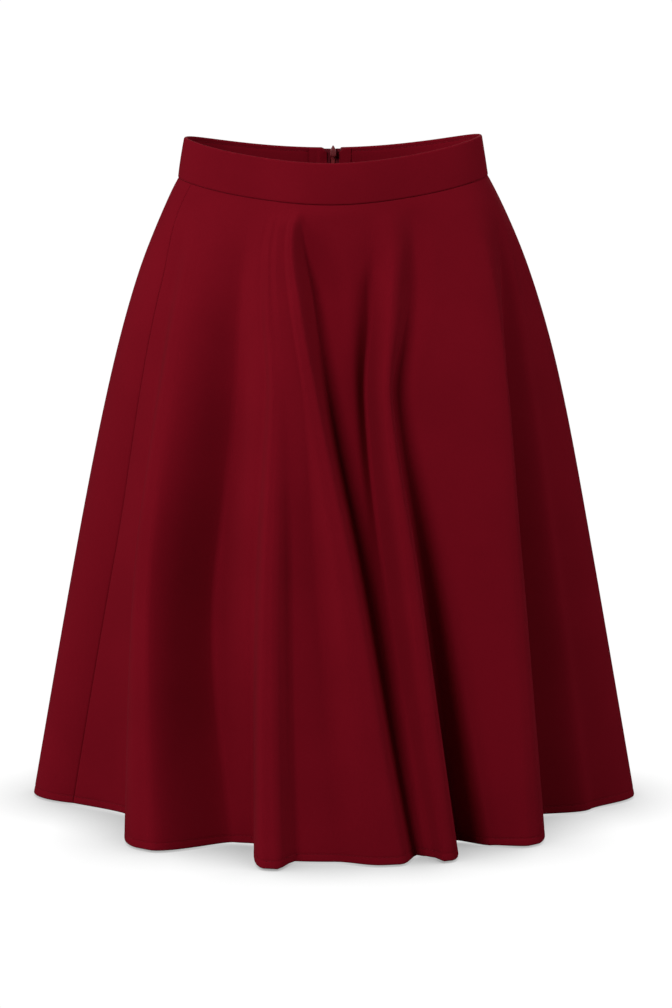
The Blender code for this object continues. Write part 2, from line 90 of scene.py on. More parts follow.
# %% The lines that the folds follow
LEVELS = (0.03, 0.15, 0.30, 0.58, 1.0)
STAY = 0.010
FLAT_AT_TOP = 0.4
Fold = namedtuple("Fold", "name at out flat edge")
FOLDS = (
    Fold("left_side_flute", (-94, -93, -93, -93, -93), (0, 3, 6.5, 12.5, 21), 3, 0.0),
    Fold("left_side_seam", (-75.5, -72.5, -73, -77.2, -82.3), (0, -3, -8, -18, -17), 0, 1.9),
    Fold("left_recess", (-70, -68, -66.5, -66.5, -67.5), (0, -4, -9, -22, -56), 0, 0.0),
    Fold("left_flute", (-62, -59, -55, -51, -42.5), (1, 5, 10, 17, 13), 4, 0.2),
    Fold("left_slope", (-44, -42, -40, -42.5, -28.8), (-1, -11, -23, -41, -45), 0, 0.3),
    Fold("left_valley", (-35, -31, -25, -24.6, -23.2), (0, -2, -5, -15, -47), 0, 0.5),
    Fold("middle_flute_left", (-30, -25, -18.8, -16.8, -12.5), (2, 6, 10, 16, 30), 3, 0.2),
    Fold("middle_hollow", (-25, -19.5, -12.6, -8.5, -4.0), (4, 8, 9, -2, 3), 9, 0.0),
    Fold("middle_flute_right", (-20.2, -14, -6.4, 3.9, 12.4), (7, 11, 11, 15, 17), 4, 0.1),
    Fold("lap_foot", (-16.2, -9.4, -1.6, 11.0, 20.0), (-3, -24, -23, -19, -9), 0, 0.7),
    Fold("lap_face", (7, 8.0, 8.6, 13.6, 21.4), (-2, -15, -17, -20, -4), 0, 0.1),
    Fold("lap_valley", (19, 18.6, 13.7, 16.2, 22.9), (-1, -20, -26, -19, 3), 0, 0.5),
    Fold("right_ridge", (30, 23.6, 17.8, 20.8, 24.6), (2, 6, 13, 20, 17), 2, 0.2),
    Fold("right_valley", (43, 35.5, 22.7, 28.3, 35.2), (-3, -12, -9, -21, -43), 0, 0.4),
    Fold("right_shoulder", (51, 44, 31, 34, 39.0), (-1, -5, -3, -8, -13), 0, 0.3),
    Fold("right_flute", (67, 63, 57, 50, 46.5), (2, 6, 10, 14, 8), 3, 0.5),
    Fold("right_recess", (79, 76, 70, 68.5, 68), (0, -12, -25, -48, -60), 0, 0.4),
    Fold("right_rise", (85, 82, 78, 77, 77), (0, -4, -8, -13, -16), 0, 0.2),
    Fold("right_side_flute", (93, 92, 91.5, 91, 91), (0.5, 5, 9.5, 14, 22), 3, 0.0),
    Fold("back_valley_1", (113, 112, 111, 110, 109), (0, -3, -8, -24, -44), 0, 0.0),
    Fold("back_flute_1", (131, 131, 130, 129, 127), (0, 3, 5, 11, 16), 5, 0.0),
    Fold("back_valley_2", (150, 148, 147, 146, 145), (0, -2, -7, -22, -40), 0, 0.2),
    Fold("back_flute_2", (165, 164, 163, 162, 162), (0, 3, 7, 15, 24), 4, 0.0),
    Fold("back_valley_3", (181, 181, 182, 183, 184), (0, 0, -3, -18, -42), 0, 0.0),
    Fold("back_flute_3", (197, 199, 201, 203, 204), (0, 3, 6, 13, 22), 6, 0.0),
    Fold("back_valley_4", (214, 217, 219, 222, 224), (0, -2, -8, -23, -46), 0, 0.2),
    Fold("back_flute_4", (229, 232, 235, 238, 240), (0, 3, 6, 10, 14), 5, 0.0),
    Fold("back_valley_5", (247, 249, 250, 252, 253), (0, -3, -8, -22, -42), 0, 0.0),
)
print(len(FOLDS), "fold lines round the skirt")


# %% Curves through the levels, and the distance out of the folded cloth
def through(levels, values, t):
    """A smooth curve through the values at the levels, with no overshoot between them."""
    x, y = np.asarray(levels, float), np.asarray(values, float)
    step = np.diff(x)
    rise = np.diff(y) / step
    product = rise[:-1] * rise[1:]
    total = np.where(product > 0, rise[:-1] + rise[1:], 1.0)
    inner = np.where(product > 0, 2.0 * product / total, 0.0)
    slope = np.concatenate(([rise[0]], inner, [rise[-1]]))
    t = np.clip(np.asarray(t, float), x[0], x[-1])
    i = np.clip(np.searchsorted(x, t, side="right") - 1, 0, len(x) - 2)
    s = (t - x[i]) / step[i]
    return (y[i] * (1 - s) ** 2 * (1 + 2 * s) + slope[i] * step[i] * s * (1 - s) ** 2
            + y[i + 1] * s * s * (3 - 2 * s) - slope[i + 1] * step[i] * s * s * (1 - s))


def fold_lines(t):
    """Angle and distance out of every fold line at height t, a broad crest giving two lines."""
    lines = []
    levels = (0.0,) + LEVELS
    for fold in FOLDS:
        angle = through(levels, fold.at[:1] + fold.at, t)
        out = through((0.0, STAY) + LEVELS, (0.0, 0.0) + fold.out, t) * MM
        half = 0.5 * fold.flat * (FLAT_AT_TOP + (1.0 - FLAT_AT_TOP) * np.asarray(t, float))
        lines += [(angle + shift, out, fold.edge) for shift in ((-half, half) if fold.flat else (0.0,))]
    return lines + [(lines[0][0] + FULL_TURN,) + lines[0][1:]]


def fold_out(angle, t):
    """How far the folded cloth stands outside the plain form."""
    lines = fold_lines(t)
    turned = lines[0][0] + np.mod(angle - lines[0][0], FULL_TURN)
    total = np.zeros(np.broadcast(angle, t).shape)
    for (a0, out0, edge0), (a1, out1, edge1) in zip(lines, lines[1:]):
        s = np.clip((turned - a0) / (a1 - a0), 0.0, 1.0)
        ease = s * s * (3 - 2 * s) + edge0 * s * (1 - s) ** 2 - edge1 * s * s * (1 - s)
        inside = (turned >= a0) & (turned < a1)
        total = np.where(inside, out0 + (out1 - out0) * ease, total)
    return total


# %% [markdown]
# Between the large folds real cloth is never quite smooth. It has short, shallow creases where it bends
# both ways. Each one here is a soft trough or ridge laid one by one, with its own length, depth and width.
# They are uneven on purpose, and the back and the sides have them too.

# %% Small creases laid between the folds
CREASE_TOP_WIDTH = 0.7
CREASE_WIDENING = 0.6
Crease = namedtuple("Crease", "top low angle_top angle_low depth width")
CREASES = (
    Crease(0.04, 0.34, -57, -50, 0.9, 11),
    Crease(0.10, 0.52, -36, -34, -1.2, 9),
    Crease(0.30, 0.86, -47, -44, 0.8, 12),
    Crease(0.02, 0.16, -8, 2, -1.2, 10),
    Crease(0.06, 0.26, 4, 6, 0.9, 9),
    Crease(0.42, 0.92, -2, 6, -0.9, 8),
    Crease(0.05, 0.30, 56, 50, -1.0, 13),
    Crease(0.36, 0.80, 58, 55, 0.8, 12),
    Crease(0.50, 1.05, 43, 43.5, -0.9, 9),
    Crease(0.06, 0.40, 86, 84, -0.8, 10),
    Crease(0.30, 0.75, 101, 99, 0.9, 12),
    Crease(0.05, 0.38, 123, 121, -1.1, 11),
    Crease(0.45, 1.05, 136, 133, -1.0, 10),
    Crease(0.10, 0.48, 157, 155, -1.0, 10),
    Crease(0.40, 0.90, 172, 171, 1.0, 12),
    Crease(0.06, 0.42, 190, 192, -1.1, 11),
    Crease(0.52, 1.05, 211, 212, 1.0, 11),
    Crease(0.10, 0.55, 223, 226, -1.2, 12),
    Crease(0.35, 0.85, 243, 246, -0.9, 10),
    Crease(0.05, 0.36, 262, 260, 0.9, 11),
)


def crease_out(angle, t, radius):
    """How far the small creases move the cloth out at each point."""
    total = np.zeros(np.shape(angle))
    for crease in CREASES:
        along = np.clip((t - crease.top) / (crease.low - crease.top), 0.0, 1.0)
        middle = crease.angle_top + (crease.angle_low - crease.angle_top) * along
        apart = np.mod(angle - middle + 0.5 * FULL_TURN, FULL_TURN) - 0.5 * FULL_TURN
        width = crease.width * MM * (CREASE_TOP_WIDTH + CREASE_WIDENING * along)
        across = np.radians(apart) * radius / width
        total += crease.depth * MM * np.sin(np.pi * along) ** 2 * np.exp(-across ** 2)
    return total


print(len(CREASES), "small creases, up to", max(abs(crease.depth) for crease in CREASES), "mm deep")


# %% Points of the skirt's and the waistband's outer faces
def ring(angle, half_width, half_front, half_back, pinch):
    """The distance out of an ellipse round the body whose front corners are drawn in by the share pinch."""
    side, ahead = np.sin(np.radians(angle)), np.cos(np.radians(angle))
    half_depth = np.where(ahead > 0, half_front, half_back)
    radius = 1.0 / np.sqrt((side / half_width) ** 2 + (ahead / half_depth) ** 2)
    return radius * (1.0 - np.where(ahead > 0, pinch, 0.0) * (2.0 * side * ahead) ** 2)


def on_turn(angle, radius, height):
    """Points at the given angles, distances from the body's middle and heights."""
    turn = np.radians(angle)
    return np.stack((radius * np.sin(turn), -radius * np.cos(turn), height), axis=-1)


def band_radius(angle, grow):
    """The distance from the body's middle to the band, which has grown all round since its top edge."""
    half_depth = 0.5 * WAIST_DEPTH + grow
    return ring(angle, 0.5 * WAIST_WIDTH + grow, half_depth, half_depth, WAIST_PINCH)


def band_top(angle):
    """The height of the band's top edge, which rises to the sides."""
    across = band_radius(angle, 0.0) * np.sin(np.radians(angle)) / (0.5 * WAIST_WIDTH)
    return SIDE_RISE * across ** 2 + LEAN * across


def widths(drop, spread):
    """How much wider the plain form has grown on one side, at a distance below the band."""
    return spread.swell * (1 - np.exp(-drop / spread.swell_drop)) + spread.flare * drop


def skirt_surface(angle, t):
    """Points of the skirt's outer face: t is 0 at the band and 1 at the hem."""
    angle, t = np.broadcast_arrays(np.asarray(angle, float), np.asarray(t, float))
    start_w, start_d = 0.5 * WAIST_WIDTH + BAND_SPREAD, 0.5 * WAIST_DEPTH + BAND_SPREAD
    pinch = WAIST_PINCH * np.exp(-t * DROP / SIDE.swell_drop)
    plain = ring(angle, start_w + widths(t * DROP, SIDE), start_d + widths(t * DROP, FRONT),
                 start_d + widths(t * DROP, BACK), pinch)
    radius = plain + fold_out(angle, t) + crease_out(angle, t, plain) - BAND_LIP * np.exp(-t / LIP_REACH)
    top = band_top(angle) - BAND_HEIGHT - BAND_SEAM
    return on_turn(angle, radius, top + (HEM_LEVEL - top) * t)


def band_surface(angle, v):
    """Points of the waistband's outer face: v is 0 at its top edge and 1 at its lower edge."""
    angle, v = np.broadcast_arrays(np.asarray(angle, float), np.asarray(v, float))
    return on_turn(angle, band_radius(angle, BAND_SPREAD * v), band_top(angle) - BAND_HEIGHT * v)


def level_normals(surface, angles, down, d_angle=0.25, d_down=0.002):
    """Unit normals of a surface, pointing away from the body and turned level."""
    angles, down = np.broadcast_arrays(np.asarray(angles, float), np.clip(down, d_down, 1.0 - d_down))
    round_it = surface(angles + d_angle, down) - surface(angles - d_angle, down)
    along = surface(angles, down + d_down) - surface(angles, down - d_down)
    normals = np.cross(along, round_it)
    normals[..., 2] = 0.0
    return normals / np.linalg.norm(normals, axis=-1, keepdims=True)


hem_line = skirt_surface(np.arange(-CENTRE_BACK, CENTRE_BACK + 1.0), 1.0)
print(f"Hem {np.linalg.norm(np.diff(hem_line, axis=0), axis=1).sum():.3f} m round")

# %% [markdown]
# ## Cloth shells
#
# Each piece of cloth becomes a closed shell: a fine grid of points for the outer face and another for the
# inner face, joined round the border. A Solidify modifier could give the thickness too, but it can't roll
# an edge or turn up a hem, and both catch the light on a sewn garment. The points also get a flat map in
# metres, which the weave follows, so its threads run along the cloth and not through it.


# %% A closed shell between two grids
def add_object(name, data):
    """A new object of the given data, in the scene."""
    made = bpy.data.objects.new(name, data)
    bpy.context.scene.collection.objects.link(made)
    return made


def triangles(shape):
    return sum(len(face.vertices) - 2 for face in shape.data.polygons)


def arc_lengths(points, axis):
    """The distance along a grid from its first row or column."""
    steps = np.linalg.norm(np.diff(points, axis=axis), axis=-1)
    start = np.zeros_like(np.take(steps, [0], axis=axis))
    return np.concatenate((start, np.cumsum(steps, axis=axis)), axis=axis)


def wall(points, normals, outside, inside):
    """One row of a shell: its outer and its inner points, at two depths inside the given points."""
    return points - normals * outside[:, None], points - normals * inside[:, None]


def cloth_shell(name, walls, finish):
    """A closed shell of rows from top to bottom, each with its points from left to right."""
    outer, inner = (np.array(grid) for grid in zip(*walls))
    rows, columns = outer.shape[:2]
    place = np.arange(rows * columns).reshape(rows, columns)
    far = place + rows * columns
    a, b, c, d = place[:-1, :-1], place[1:, :-1], place[1:, 1:], place[:-1, 1:]
    e, f, g, h = far[:-1, :-1], far[:-1, 1:], far[1:, 1:], far[1:, :-1]
    faces = [np.stack(loop, axis=-1).reshape(-1, 4) for loop in ((a, b, c, d), (e, f, g, h))]
    faces.append(np.stack((place[0, :-1], place[0, 1:], far[0, 1:], far[0, :-1]), axis=-1))
    faces.append(np.stack((place[-1, :-1], far[-1, :-1], far[-1, 1:], place[-1, 1:]), axis=-1))
    faces.append(np.stack((place[:-1, 0], far[:-1, 0], far[1:, 0], place[1:, 0]), axis=-1))
    faces.append(np.stack((place[:-1, -1], place[1:, -1], far[1:, -1], far[:-1, -1]), axis=-1))
    mesh = bpy.data.meshes.new(name)
    mesh.from_pydata(np.concatenate((outer.reshape(-1, 3), inner.reshape(-1, 3))), [], np.concatenate(faces))
    across = arc_lengths(outer, 1)
    across -= 0.5 * across[:, -1:]
    down = arc_lengths(outer, 0)
    flat = np.tile(np.stack((across, -down), axis=-1).reshape(-1, 2), (2, 1))
    corners = np.empty(len(mesh.loops), np.int32)
    mesh.loops.foreach_get("vertex_index", corners)
    layer = mesh.uv_layers.new(name="flat_cut")
    layer.data.foreach_set("uv", flat[corners].astype(np.float32).ravel())
    mesh.shade_smooth()
    mesh.materials.append(finish)
    return add_object(name, mesh)


def rolled(distance, radius):
    """How far a rounded edge lies inside the face, at a distance from the edge."""
    near = np.clip(radius - distance, 0.0, radius)
    return radius - np.sqrt(radius ** 2 - near ** 2)


def tell_cloth(shape):
    """Prints a shell's triangles, and the area of one of its two faces as half of its surface."""
    area = 0.5 * sum(face.area for face in shape.data.polygons)
    print(f"{shape.name}: {triangles(shape)} triangles, {area:.4f} square metres")


# %% [markdown]
# ## Finishes
#
# A material is a tree of nodes. To keep its maths readable, a small class wraps a socket so that sockets
# can be added and multiplied like numbers. Every other kind of node comes from one method, which sets the
# node's options first and then joins or fills its sockets.


# %% Sockets that work like numbers
class Wire:
    """A socket of a node tree that can stand in a sum."""

    def __init__(self, tree, socket):
        self.tree = tree
        self.socket = socket

    def maths(self, operation, first, second):
        return self.tree.node("ShaderNodeMath", {"operation": operation}, (first, second))

    def __add__(self, other):
        return self.maths("ADD", self, other)

    def __radd__(self, other):
        return self.maths("ADD", other, self)

    def __sub__(self, other):
        return self.maths("SUBTRACT", self, other)

    def __rsub__(self, other):
        return self.maths("SUBTRACT", other, self)

    def __mul__(self, other):
        return self.maths("MULTIPLY", self, other)

    def __rmul__(self, other):
        return self.maths("MULTIPLY", other, self)

    def __truediv__(self, other):
        return self.maths("DIVIDE", self, other)

    def __pow__(self, other):
        return self.maths("POWER", self, other)


class Tree:
    """A node tree whose nodes all come from one method."""

    def __init__(self, tree):
        self.tree = tree

    def node(self, kind, settings=None, values=(), output=0):
        made = self.tree.nodes.new(kind)
        for key, value in (settings or {}).items():
            setattr(made, key, value)
        for key, value in values.items() if isinstance(values, dict) else enumerate(values):
            self.fill(made.inputs[key], value)
        return Wire(self, made.outputs[output])

    def fill(self, socket, value):
        """Joins a wire to a socket, or sets the socket's own value."""
        if isinstance(value, Wire):
            self.tree.links.new(value.socket, socket)
        else:
            socket.default_value = value

    def mix(self, share, first, second, how="MIX"):
        """Two colours mixed by a share."""
        return self.node("ShaderNodeMix", {"data_type": "RGBA", "blend_type": how},
                         {0: share, 6: first, 7: second}, output=2)

    def sine(self, value):
        return self.node("ShaderNodeMath", {"operation": "SINE"}, (value,))

    def spread(self, value, low, high):
        """A share that goes smoothly from 0 to 1 as the value goes from low to high."""
        return self.node("ShaderNodeMapRange", {"interpolation_type": "SMOOTHSTEP"},
                         (value, low, high, 0.0, 1.0))

    def noise(self, place, size, detail):
        """Uneven patches of about the given size."""
        return self.node("ShaderNodeTexNoise", None, {"Vector": place, "Scale": 1 / size, "Detail": detail})

    def own_place(self):
        """The place on the piece itself, in metres."""
        return self.node("ShaderNodeTexCoord", output=3)

    def flat_map(self):
        """The place on the cloth laid flat, and its two directions across and down."""
        flat = self.node("ShaderNodeUVMap", {"uv_map": "flat_cut"})
        return flat, *(self.node("ShaderNodeSeparateXYZ", None, (flat,), axis) for axis in (0, 1))


def start_finish(name):
    """A new material, its tree and its shader's sockets."""
    made = bpy.data.materials.new(name)
    made.use_nodes = True
    return made, Tree(made.node_tree), made.node_tree.nodes["Principled BSDF"].inputs


def set_finish(tree, shader, colour, roughness, height, strength, depth, specular):
    """Fills a shader with a colour, a roughness, a bump of some strength and depth, and a specular level."""
    tree.fill(shader["Base Color"], colour)
    tree.fill(shader["Roughness"], roughness)
    tree.fill(shader["Normal"], tree.node("ShaderNodeBump", None, {
        "Strength": strength, "Distance": depth, "Height": height}))
    shader["Specular IOR Level"].default_value = specular


# %% [markdown]
# The cloth is a wool crepe. Its yarns are so tightly twisted that the surface is dull and slightly pebbled,
# with no clear threads from a step away. Three scales make it: yarns a little over half a millimetre apart,
# a pebble of about two millimetres, and a very faint unevenness of the dye over a hand's width. The yarns
# and pebbles go to the Bump node, and the dye, with a little of the pebbles, to the colour. A little sheen
# stands for the loose fibres at the surface.


# %% Crimson crepe
YARN_PITCH = 0.62 * MM
PEBBLE = 2.2 * MM
DYE_PATCH = 90 * MM
CRIMSON = (0.194, 0.0039, 0.0117, 1.0)
DEEP_CRIMSON = (0.178, 0.0035, 0.0106, 1.0)
LOOSE_FIBRES = (1.0, 0.35, 0.40, 1.0)


def crepe_finish():
    """A dull pebbled crepe in two close shades."""
    made, tree, shader = start_finish("crimson_crepe")
    flat, across, down = tree.flat_map()
    drift = tree.noise(flat, 3 * YARN_PITCH, 1.0)
    pebble = tree.noise(flat, PEBBLE, 2.0)
    dye = tree.noise(tree.own_place(), DYE_PATCH, 3.0)
    turns = math.tau / YARN_PITCH
    yarn = tree.sine(across * turns + drift * 6.0) * tree.sine(down * turns + drift * 5.0) * 0.5 + 0.5
    colour = tree.mix(tree.spread(dye * 0.7 + pebble * 0.3, 0.36, 0.64), DEEP_CRIMSON, CRIMSON)
    height = yarn * 0.4 + pebble * 0.6
    set_finish(tree, shader, colour, 0.96 - pebble * 0.08, height, 0.30, 0.25 * MM, 0.03)
    shader["Sheen Weight"].default_value = 0.02
    shader["Sheen Roughness"].default_value = 0.5
    shader["Sheen Tint"].default_value = LOOSE_FIBRES
    return made


crepe = crepe_finish()
print("Made", crepe.name, "with", len(crepe.node_tree.nodes), "nodes")

# %% [markdown]
# ## The skirt panels
#
# Three flared panels make the skirt: one front, and two backs that meet at the zip. The columns of each
# grid gather on the fold lines, so that a fold's turn is never cut by a long quad. Near a seam the columns
# are closer still, because the seam pulls the edge of each panel in and leaves a fine groove. At the hem
# the cloth is turned up, so the wall there is twice as thick and its lower edge is round.

# %% Columns and rows of a panel
PANEL_STEP = 4.2 * MM
SEAM_ROUND = 0.75 * MM
SEAM_PULL = 0.35 * MM
SEAM_PULL_REACH = 2.5 * MM
EDGE_STEPS = np.array((0.02, 0.15, 0.4, 0.75, 1.5, 3.0, 5.0)) * MM
RIGHT_SEAM = 94.5
SEAM_CLEARANCE = 0.5


def seam_line(angles):
    """The angle of a seam at height t, from its angles at the LEVELS."""
    def at(t):
        return float(through((0.0,) + LEVELS, angles[:1] + angles, t))
    return at


left_seam = seam_line(next(fold.at for fold in FOLDS if fold.name == "left_side_seam"))
right_seam = seam_line((RIGHT_SEAM,) * len(LEVELS))
back_seam = seam_line((CENTRE_BACK,) * len(LEVELS))
back_seam_before = seam_line((CENTRE_BACK - FULL_TURN,) * len(LEVELS))


def level_radius(angle, t):
    """The distance from the body's middle to the cloth."""
    return np.linalg.norm(skirt_surface(angle, t)[..., :2], axis=-1)


def panel_stops(left, right, t):
    """The angles of a panel's two seams and of the fold lines that reach its hem between them."""
    stops = [left(t)]
    for turn in (0.0, FULL_TURN):
        for line, hem_fold in zip(fold_lines(t)[:-1], fold_lines(1.0)[:-1]):
            if left(1.0) + SEAM_CLEARANCE < hem_fold[0] + turn < right(1.0) - SEAM_CLEARANCE:
                stops.append(line[0] + turn)
    stops.append(right(t))
    return np.array(stops)


def stretch_parts(left, right):
    """How many columns each stretch between two stops takes, from its widest place down the skirt."""
    widest = 0.0
    for t in LEVELS:
        stops = panel_stops(left, right, t)
        radii = level_radius(stops, t)
        widest = np.maximum(widest, np.radians(np.diff(stops)) * 0.5 * (radii[:-1] + radii[1:]))
    return np.maximum(1, np.round(widest / PANEL_STEP)).astype(int)


def column_angles(left, right, t, parts):
    """Column angles from seam to seam, and each column's distance from the nearer seam."""
    stops = panel_stops(left, right, t)
    near_left = np.degrees(EDGE_STEPS / level_radius(stops[0], t))
    near_right = np.degrees(EDGE_STEPS / level_radius(stops[-1], t))
    ends = stops[[0, -1]]
    stops[0] += near_left[-1]
    stops[-1] -= near_right[-1]
    runs = [np.linspace(a, b, n, endpoint=False) for a, b, n in zip(stops, stops[1:], parts)]
    right_edge = (ends[1] - near_right[:-1])[::-1]
    angles = np.concatenate([ends[0] + near_left[:-1]] + runs + [stops[-1:], right_edge])
    away = np.minimum(angles - ends[0], ends[1] - angles)
    return angles, np.radians(away) * level_radius(angles, t)


# %% The three panels
HEM_ROUND = 1.5 * MM
HEM_STEP = 0.3 * MM
STITCH_LINE = 7.0 * MM
STITCH_SINK = 0.30 * MM
STITCH_SINK_REACH = 0.9 * MM
SKIRT_LENGTH = -HEM_LEVEL - BAND_HEIGHT
ROW_STEP = 4.4 * MM
TOP_ROWS = np.array((0.02, 0.2, 0.5, 1.0, 2.0, 3.5)) * MM
HEM_ROWS = np.array((12.0, 8.7, 8.2, 7.9, 7.3, 6.7, 6.0, 4.5, 3.0, 2.0, 1.3, 0.8, 0.4, 0.15, 0.0)) * MM


def panel_rows():
    """Distances down the skirt of a panel's rows, closer together at the band and at the hem."""
    plain_end = SKIRT_LENGTH - HEM_ROWS[0]
    count = round((plain_end - TOP_ROWS[-1]) / ROW_STEP)
    plain = np.linspace(TOP_ROWS[-1], plain_end, count, endpoint=False)
    return np.concatenate((TOP_ROWS[:-1], plain, SKIRT_LENGTH - HEM_ROWS))


def skirt_panel(name, left, right):
    """One panel from seam to seam, with rolled edges and its hem turned up inside."""
    parts = stretch_parts(left, right)
    walls = []
    for down in panel_rows():
        t = down / SKIRT_LENGTH
        above_hem = SKIRT_LENGTH - down
        angles, away = column_angles(left, right, t, parts)
        thick = CLOTH * (1.0 + np.clip((HEM_TURN - above_hem) / HEM_STEP, 0.0, 1.0))
        roll = np.maximum(rolled(away, SEAM_ROUND), rolled(down, SEAM_ROUND))
        roll = np.maximum(roll, rolled(above_hem, HEM_ROUND))
        pull = SEAM_PULL * np.exp(-away / SEAM_PULL_REACH)
        sink = STITCH_SINK * math.exp(-((above_hem - STITCH_LINE) / STITCH_SINK_REACH) ** 2)
        walls.append(wall(skirt_surface(angles, t), level_normals(skirt_surface, angles, t),
                          roll + pull + sink, thick - roll + pull))
    made = cloth_shell(name, walls, crepe)
    tell_cloth(made)
    return made


front_panel = skirt_panel("front_panel_cloth", left_seam, right_seam)
back_panel_right = skirt_panel("back_panel_right_cloth", right_seam, back_seam)
back_panel_left = skirt_panel("back_panel_left_cloth", back_seam_before, left_seam)

# %% [markdown]
# ## The waistband
#
# The band is one shaped strip, folded double along its top edge and closed at the centre back. Its folded
# edge is round, its lower edge sits just over the skirt's seam, and the layers inside make it swell a
# little between them. At the zip the corners of its ends are turned in, which leaves a small notch.

# %% The band in one piece
BAND_STEP = 2.4 * MM
BAND_GAP = 1.6 * MM
BAND_ROUND = 1.42 * MM
BAND_SWELL = 0.35 * MM
SWELL_CURVE = 0.7
BAND_WAVES = ((3, 0.16, 0.4), (5, 0.13, 2.1), (8, 0.09, 4.0))
NOTCH_DROP = 4.6 * MM
NOTCH_CURVE = 1.2
NOTCH_FLAT = 4.2 * MM
NOTCH_REACH_LEFT = 9.8 * MM
NOTCH_REACH_RIGHT = 7.0 * MM
UNDERSTITCH = 4.0 * MM
BAND_ROWS = np.array((0.0, 0.12, 0.4, 0.8, 1.4, 2.2, 3.2, 3.7, 4.3, 5.0, 7.0) + tuple(range(10, 34, 3))
                     + (35.0, 36.2, 37.0, 37.5, 37.8, 38.0)) * MM


def band_end_distance(angle):
    """The distance along the waist from the nearer end of the band."""
    return np.radians(CENTRE_BACK - np.abs(angle)) * 0.5 * WAIST_DEPTH - 0.5 * BAND_GAP


def band_notch(angle):
    """How far the band's top edge drops where its ends are turned in at the zip."""
    reach = np.where(np.asarray(angle) < 0.0, NOTCH_REACH_LEFT, NOTCH_REACH_RIGHT)
    share = np.clip((reach - band_end_distance(angle)) / (reach - NOTCH_FLAT), 0.0, 1.0)
    return NOTCH_DROP * share ** NOTCH_CURVE


def waistband_shell():
    """The band from end to end, its outer face a little swollen between its two edges."""
    half = CENTRE_BACK - math.degrees(0.5 * BAND_GAP / (0.5 * WAIST_DEPTH))
    near = np.degrees(EDGE_STEPS / (0.5 * WAIST_DEPTH))
    columns = round(math.pi * 0.5 * (WAIST_WIDTH + WAIST_DEPTH) / BAND_STEP)
    runs = np.linspace(-half + near[-1], half - near[-1], columns)
    angles = np.concatenate((near[:-1] - half, runs, (half - near[:-1])[::-1]))
    ends = np.maximum(band_end_distance(angles), 0.0)
    wave = sum(size * MM * np.sin(count * np.radians(angles) + phase) for count, size, phase in BAND_WAVES)
    walls = []
    for down in BAND_ROWS:
        v = down / BAND_HEIGHT
        points = band_surface(angles, v)
        points[:, 2] -= band_notch(angles) * (1.0 - v)
        roll = np.maximum(rolled(np.minimum(down, BAND_HEIGHT - down), BAND_ROUND), rolled(ends, BAND_ROUND))
        swell = (BAND_SWELL + wave) * math.sin(math.pi * v) ** SWELL_CURVE
        sink = STITCH_SINK * math.exp(-((down - UNDERSTITCH) / STITCH_SINK_REACH) ** 2)
        walls.append(wall(points, level_normals(band_surface, angles, v),
                          roll - swell, BAND_THICKNESS - roll - sink))
    made = cloth_shell("waistband_cloth", walls, crepe)
    tell_cloth(made)
    return made


waistband = waistband_shell()

# %% [markdown]
# ## Inside the seams
#
# A skirt without lining shows its seams inside: the cloth beyond each seam is pressed open to both sides
# and its edge is overlocked. These strips follow the same rule of the surface, a little further in. At the
# centre back they begin where the zip ends.

# %% Pressed-open seam allowances
ALLOWANCE = 14 * MM
ALLOWANCE_THICKNESS = 0.9 * MM
ALLOWANCE_DEPTH = CLOTH + 0.6 * MM
ALLOWANCE_ROUND = 0.4 * MM
ALLOWANCE_ROW = 6 * MM
ALLOWANCE_COLUMNS = np.array((0.2, 0.5, 1.2, 4.0, 8.0, 11.5, 13.0, 13.6, 13.9, 14.0)) * MM
ZIP_LENGTH = 200 * MM
ZIP_END = (ZIP_LENGTH - BAND_HEIGHT) / SKIRT_LENGTH
ALLOWANCE_TOP = 0.008
ALLOWANCE_LOW = 1.0 - (HEM_TURN + 1.0 * MM) / SKIRT_LENGTH


def seam_allowance(name, seam, side, top=ALLOWANCE_TOP):
    """A strip inside the cloth beside a seam, on its +1 or -1 side."""
    walls = []
    across = ALLOWANCE_COLUMNS if side > 0 else -ALLOWANCE_COLUMNS[::-1]
    edge = np.minimum(np.abs(across) - ALLOWANCE_COLUMNS[0], ALLOWANCE - np.abs(across))
    roll = rolled(edge, ALLOWANCE_ROUND)
    for t in np.linspace(top, ALLOWANCE_LOW, round((ALLOWANCE_LOW - top) * SKIRT_LENGTH / ALLOWANCE_ROW)):
        angles = seam(t) + np.degrees(across / level_radius(seam(t), t))
        walls.append(wall(skirt_surface(angles, t), level_normals(skirt_surface, angles, t),
                          ALLOWANCE_DEPTH + roll, ALLOWANCE_DEPTH + ALLOWANCE_THICKNESS - roll))
    return cloth_shell(name, walls, crepe)


below_zip = ZIP_END + 0.01
allowances = {
    "front_panel": [seam_allowance("front_allowance_left", left_seam, 1),
                    seam_allowance("front_allowance_right", right_seam, -1)],
    "back_panel_left": [seam_allowance("back_allowance_left", left_seam, -1),
                        seam_allowance("back_allowance_centre_left", back_seam_before, 1, below_zip)],
    "back_panel_right": [seam_allowance("back_allowance_right", right_seam, 1),
                         seam_allowance("back_allowance_centre_right", back_seam, -1, below_zip)],
}
print(sum(len(strips) for strips in allowances.values()), "strips,", round(ALLOWANCE / MM), "mm wide")

# %% [markdown]
# ## The concealed zip
#
# A concealed zip is sewn inside the seam, so nothing of it shows outside but the slider's ring and tab at
# the top. Inside, its two woven tapes lie flat on the cloth, and the band's ends are turned in over them.
# Each turned end stands a little proud of the band, with a slanted top corner beside the coil.

# %% The finish of the tape
TAPE_RIB = 0.8 * MM
TAPE_SLANT = 2.4 * MM
TAPE_RED = (0.150, 0.0050, 0.0130, 1.0)
TAPE_DEEP_RED = (0.085, 0.0030, 0.0080, 1.0)


